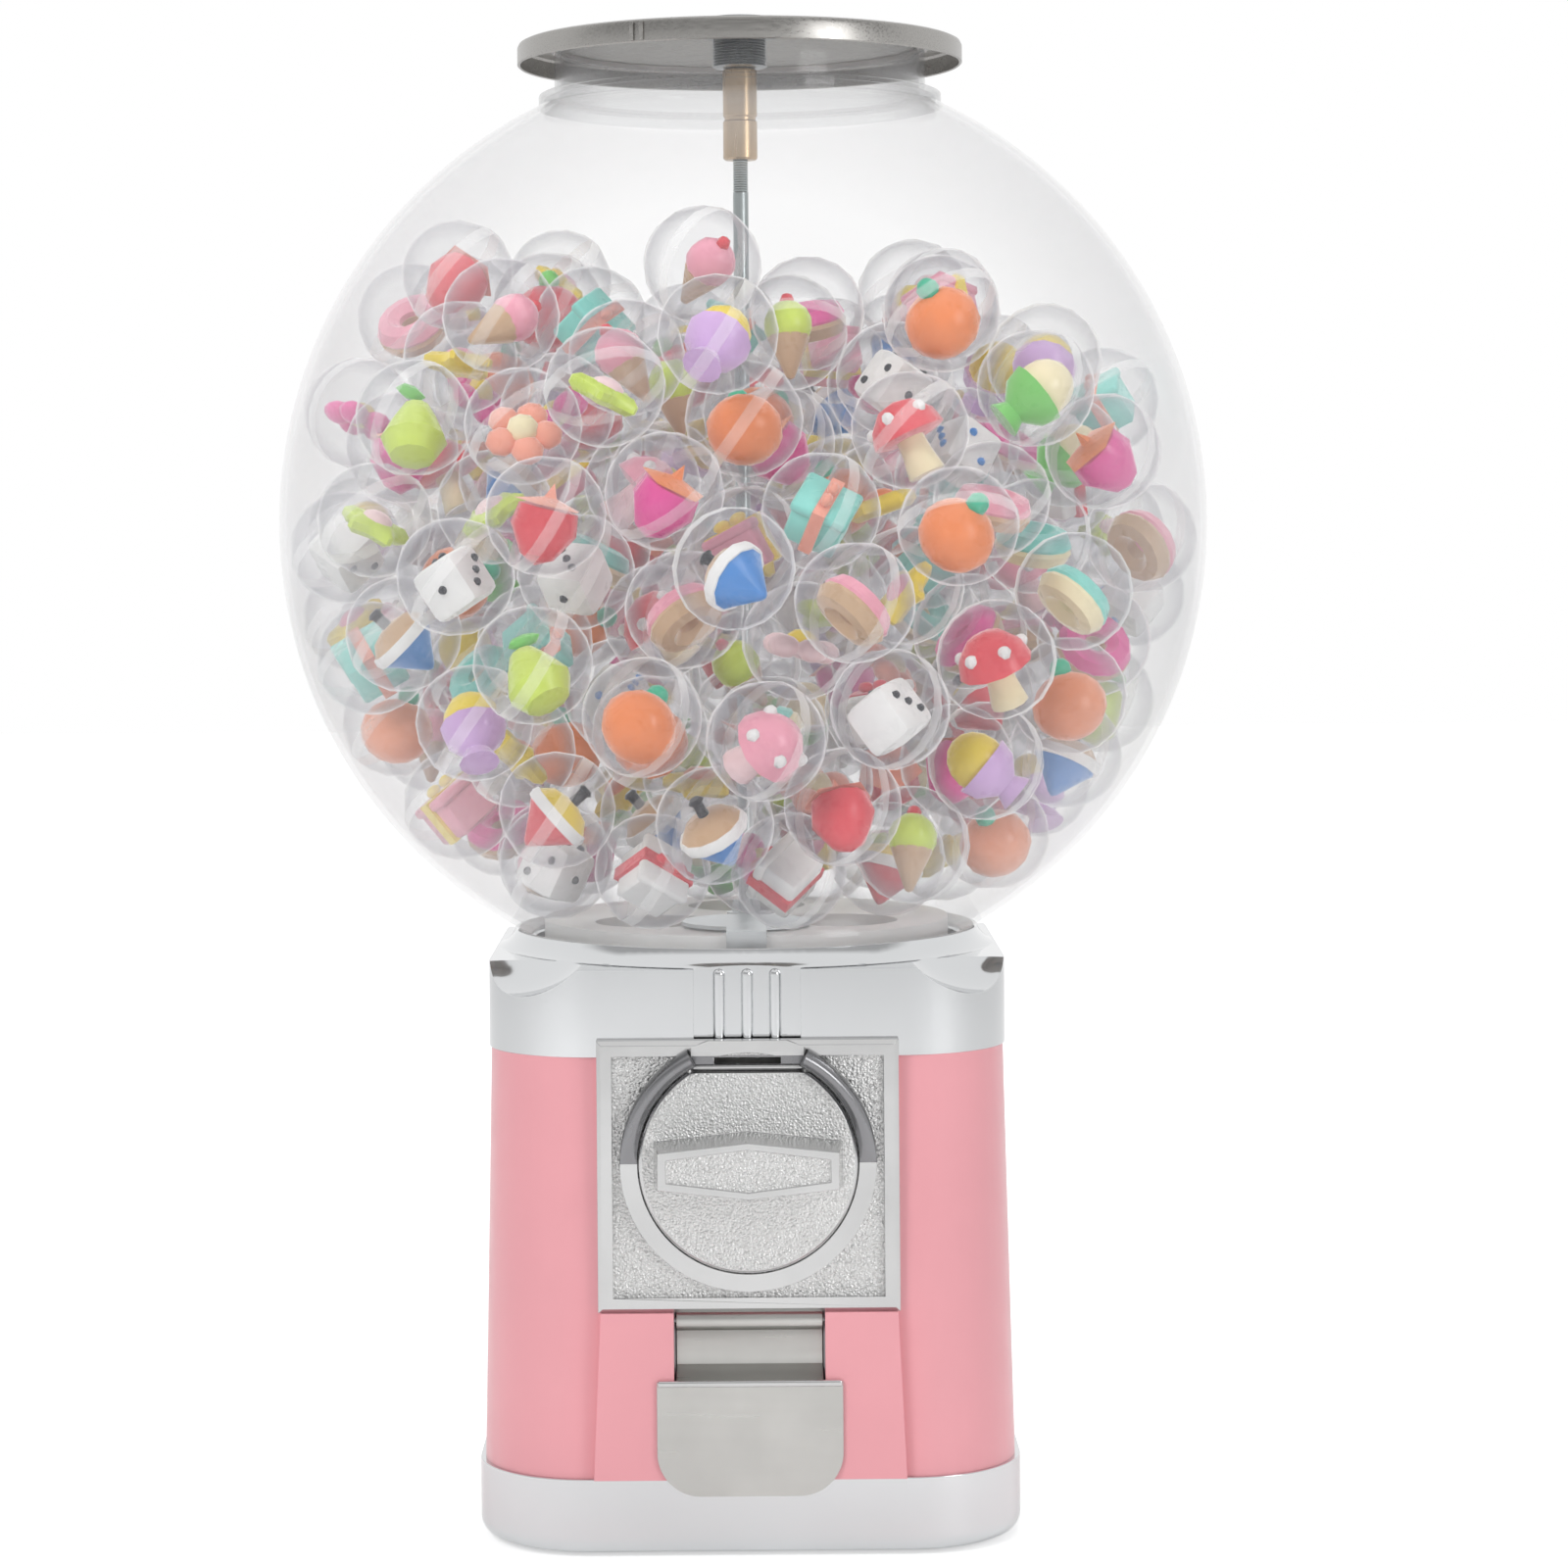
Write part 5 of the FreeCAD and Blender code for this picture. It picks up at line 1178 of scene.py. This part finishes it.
class MACHINE_OT_stage(bpy.types.Operator):
    """Set the pale floor, the soft lights, the white surround and the camera"""
    bl_idname = "capsule_machine.stage"
    bl_label = "Stage"

    # Softboxes: name, place, size, power and whether metal and plastic mirror it
    softboxes = (
        ("key_softbox", (-1.1, -1.5, 1.5), (0.7, 0.9), 18.0, False),
        ("fill_softbox", (1.4, -1.3, 1.0), (0.6, 1.0), 9.0, True),
        ("top_softbox", (0.0, -0.1, 2.0), (1.2, 1.0), 8.0, False),
        ("back_softbox", (0.3, 1.5, 1.4), (1.6, 1.0), 6.0, False),
    )
    lamp_target = Vector((0.0, 0.0, 0.32))
    # The dark band that metal mirrors from the front: height and level, from the horizon up
    mirrored_band = ((0.22, 0.92), (0.42, 0.22), (0.62, 0.22), (0.82, 1.0))
    mirrored_low = 0.84
    surround_level = 0.48

    def lamp(self, name, place, size, power, mirrored):
        deselect()
        bpy.ops.object.light_add(type="AREA", location=place)
        lamp = bpy.context.object
        lamp.name = name
        lamp.data.shape = "RECTANGLE"
        lamp.data.size, lamp.data.size_y = size
        lamp.data.energy = power
        aim = self.lamp_target - Vector(place)
        lamp.rotation_euler = aim.to_track_quat("-Z", "Y").to_euler()
        lamp.visible_camera = False
        lamp.visible_glossy = mirrored

    def execute(self, context):
        stage = context.scene.capsule_stage
        scene = context.scene
        scene.view_settings.view_transform = "Standard"
        scene.cycles.transparent_max_bounces = 64

        deselect()
        bpy.ops.mesh.primitive_plane_add(size=12.0, location=(0.0, 0.0, 0.0))
        floor = settle(context.object, "studio_floor")
        pick(floor, "FACE", lambda f: True)
        bpy.ops.mesh.subdivide(number_cuts=6)
        close(floor)
        paint(floor, self.floor_paper())

        for softbox in self.softboxes:
            self.lamp(*softbox)
        scene.world = self.surround()

        bpy.ops.object.camera_add(
            location=stage.camera_place, rotation=(math.radians(90.0), stage.camera_roll, 0.0),
        )
        camera = context.object
        camera.name = "photo_camera"
        camera.data.lens = stage.lens
        camera.data.sensor_width = 36.0
        camera.data.shift_x, camera.data.shift_y = stage.camera_shift
        scene.camera = camera
        return {"FINISHED"}

    def surround(self):
        """White to the camera and through glass, with the dark band for what mirrors it."""
        world = bpy.data.worlds.new("studio_surround")
        world.use_nodes = True
        tree = world.node_tree
        background = tree.nodes["Background"]
        path = add_node(tree, "ShaderNodeLightPath").outputs
        coords = add_node(tree, "ShaderNodeTexCoord").outputs["Generated"]
        way = add_node(tree, "ShaderNodeSeparateXYZ", {"Vector": coords}).outputs
        band = add_node(tree, "ShaderNodeValToRGB", {"Fac": way["Z"]})
        for place, shade in self.mirrored_band:
            step = band.color_ramp.elements.new(place)
            step.color = (shade, shade, shade, 1.0)
        band.color_ramp.elements[0].color = (*[self.mirrored_low] * 3, 1.0)
        behind = add_node(tree, "ShaderNodeMapRange", {
            "Value": way["Y"], "From Min": -0.3, "From Max": 0.1,
        })
        dim = add_node(tree, "ShaderNodeMath", {0: band.outputs["Color"], 1: behind.outputs["Result"]},
                       operation="MAXIMUM")
        level = add_node(tree, "ShaderNodeMath", {0: path["Is Glossy Ray"], 1: dim.outputs["Value"]},
                         operation="MULTIPLY")
        for least in (path["Is Camera Ray"], path["Is Transmission Ray"], self.surround_level):
            level = add_node(tree, "ShaderNodeMath", {0: level.outputs["Value"], 1: least},
                             operation="MAXIMUM")
        background.inputs["Color"].default_value = (1.0, 1.0, 1.0, 1.0)
        tree.links.new(level.outputs["Value"], background.inputs["Strength"])
        return world

    def floor_paper(self):
        """Pale paper that glows a little more to the camera with its distance from the machine."""
        made = Finish("studio_paper", (0.88, 0.88, 0.88), 0.0, 0.7)
        made.shaded(made.noise(3.0), 0.01)
        path = made.node("ShaderNodeLightPath").outputs
        reach = made.node("ShaderNodeVectorMath", {0: made.coords}, operation="LENGTH").outputs["Value"]
        seen = made.product(path["Is Camera Ray"], made.spread(reach, 0.44, 0.64, 0.25, 1.6))
        mirrored = made.product(path["Is Glossy Ray"], 0.22)
        glow = made.node("ShaderNodeMath", {0: mirrored, 1: seen}, operation="MAXIMUM")
        made.set(Emission_Color=(1.0, 1.0, 1.0, 1.0))
        made.tree.links.new(glow.outputs["Value"], made.shader.inputs["Emission Strength"])
        return made.material


OPERATORS = (
    MACHINE_OT_globe, MACHINE_OT_lid, MACHINE_OT_rod, MACHINE_OT_cabinet, MACHINE_OT_coin_plate,
    MACHINE_OT_knob, MACHINE_OT_flap, MACHINE_OT_mechanism, MACHINE_OT_capsules, MACHINE_OT_toys,
    MACHINE_OT_stage,
)


class MACHINE_PT_panel(bpy.types.Panel):
    """The machine's sizes and steps in the sidebar"""
    bl_idname = "MACHINE_PT_panel"
    bl_label = "Capsule machine"
    bl_space_type = "VIEW_3D"
    bl_region_type = "UI"
    bl_category = "Capsule machine"

    def draw(self, context):
        for settings in (context.scene.capsule_machine, context.scene.capsule_stage):
            for name in settings.__annotations__:
                self.layout.prop(settings, name)
        for step in OPERATORS:
            self.layout.operator(step.bl_idname)


CLASSES = (MachineSettings, StageSettings) + OPERATORS + (MACHINE_PT_panel,)


def register():
    for each in CLASSES:
        bpy.utils.register_class(each)
    bpy.types.Scene.capsule_machine = bpy.props.PointerProperty(type=MachineSettings)
    bpy.types.Scene.capsule_stage = bpy.props.PointerProperty(type=StageSettings)


def unregister():
    del bpy.types.Scene.capsule_stage
    del bpy.types.Scene.capsule_machine
    for each in reversed(CLASSES):
        bpy.utils.unregister_class(each)


def main():
    register()
    for step in OPERATORS:
        group, name = step.bl_idname.split(".")
        getattr(getattr(bpy.ops, group), name)()


if __name__ == "__main__":
    main()
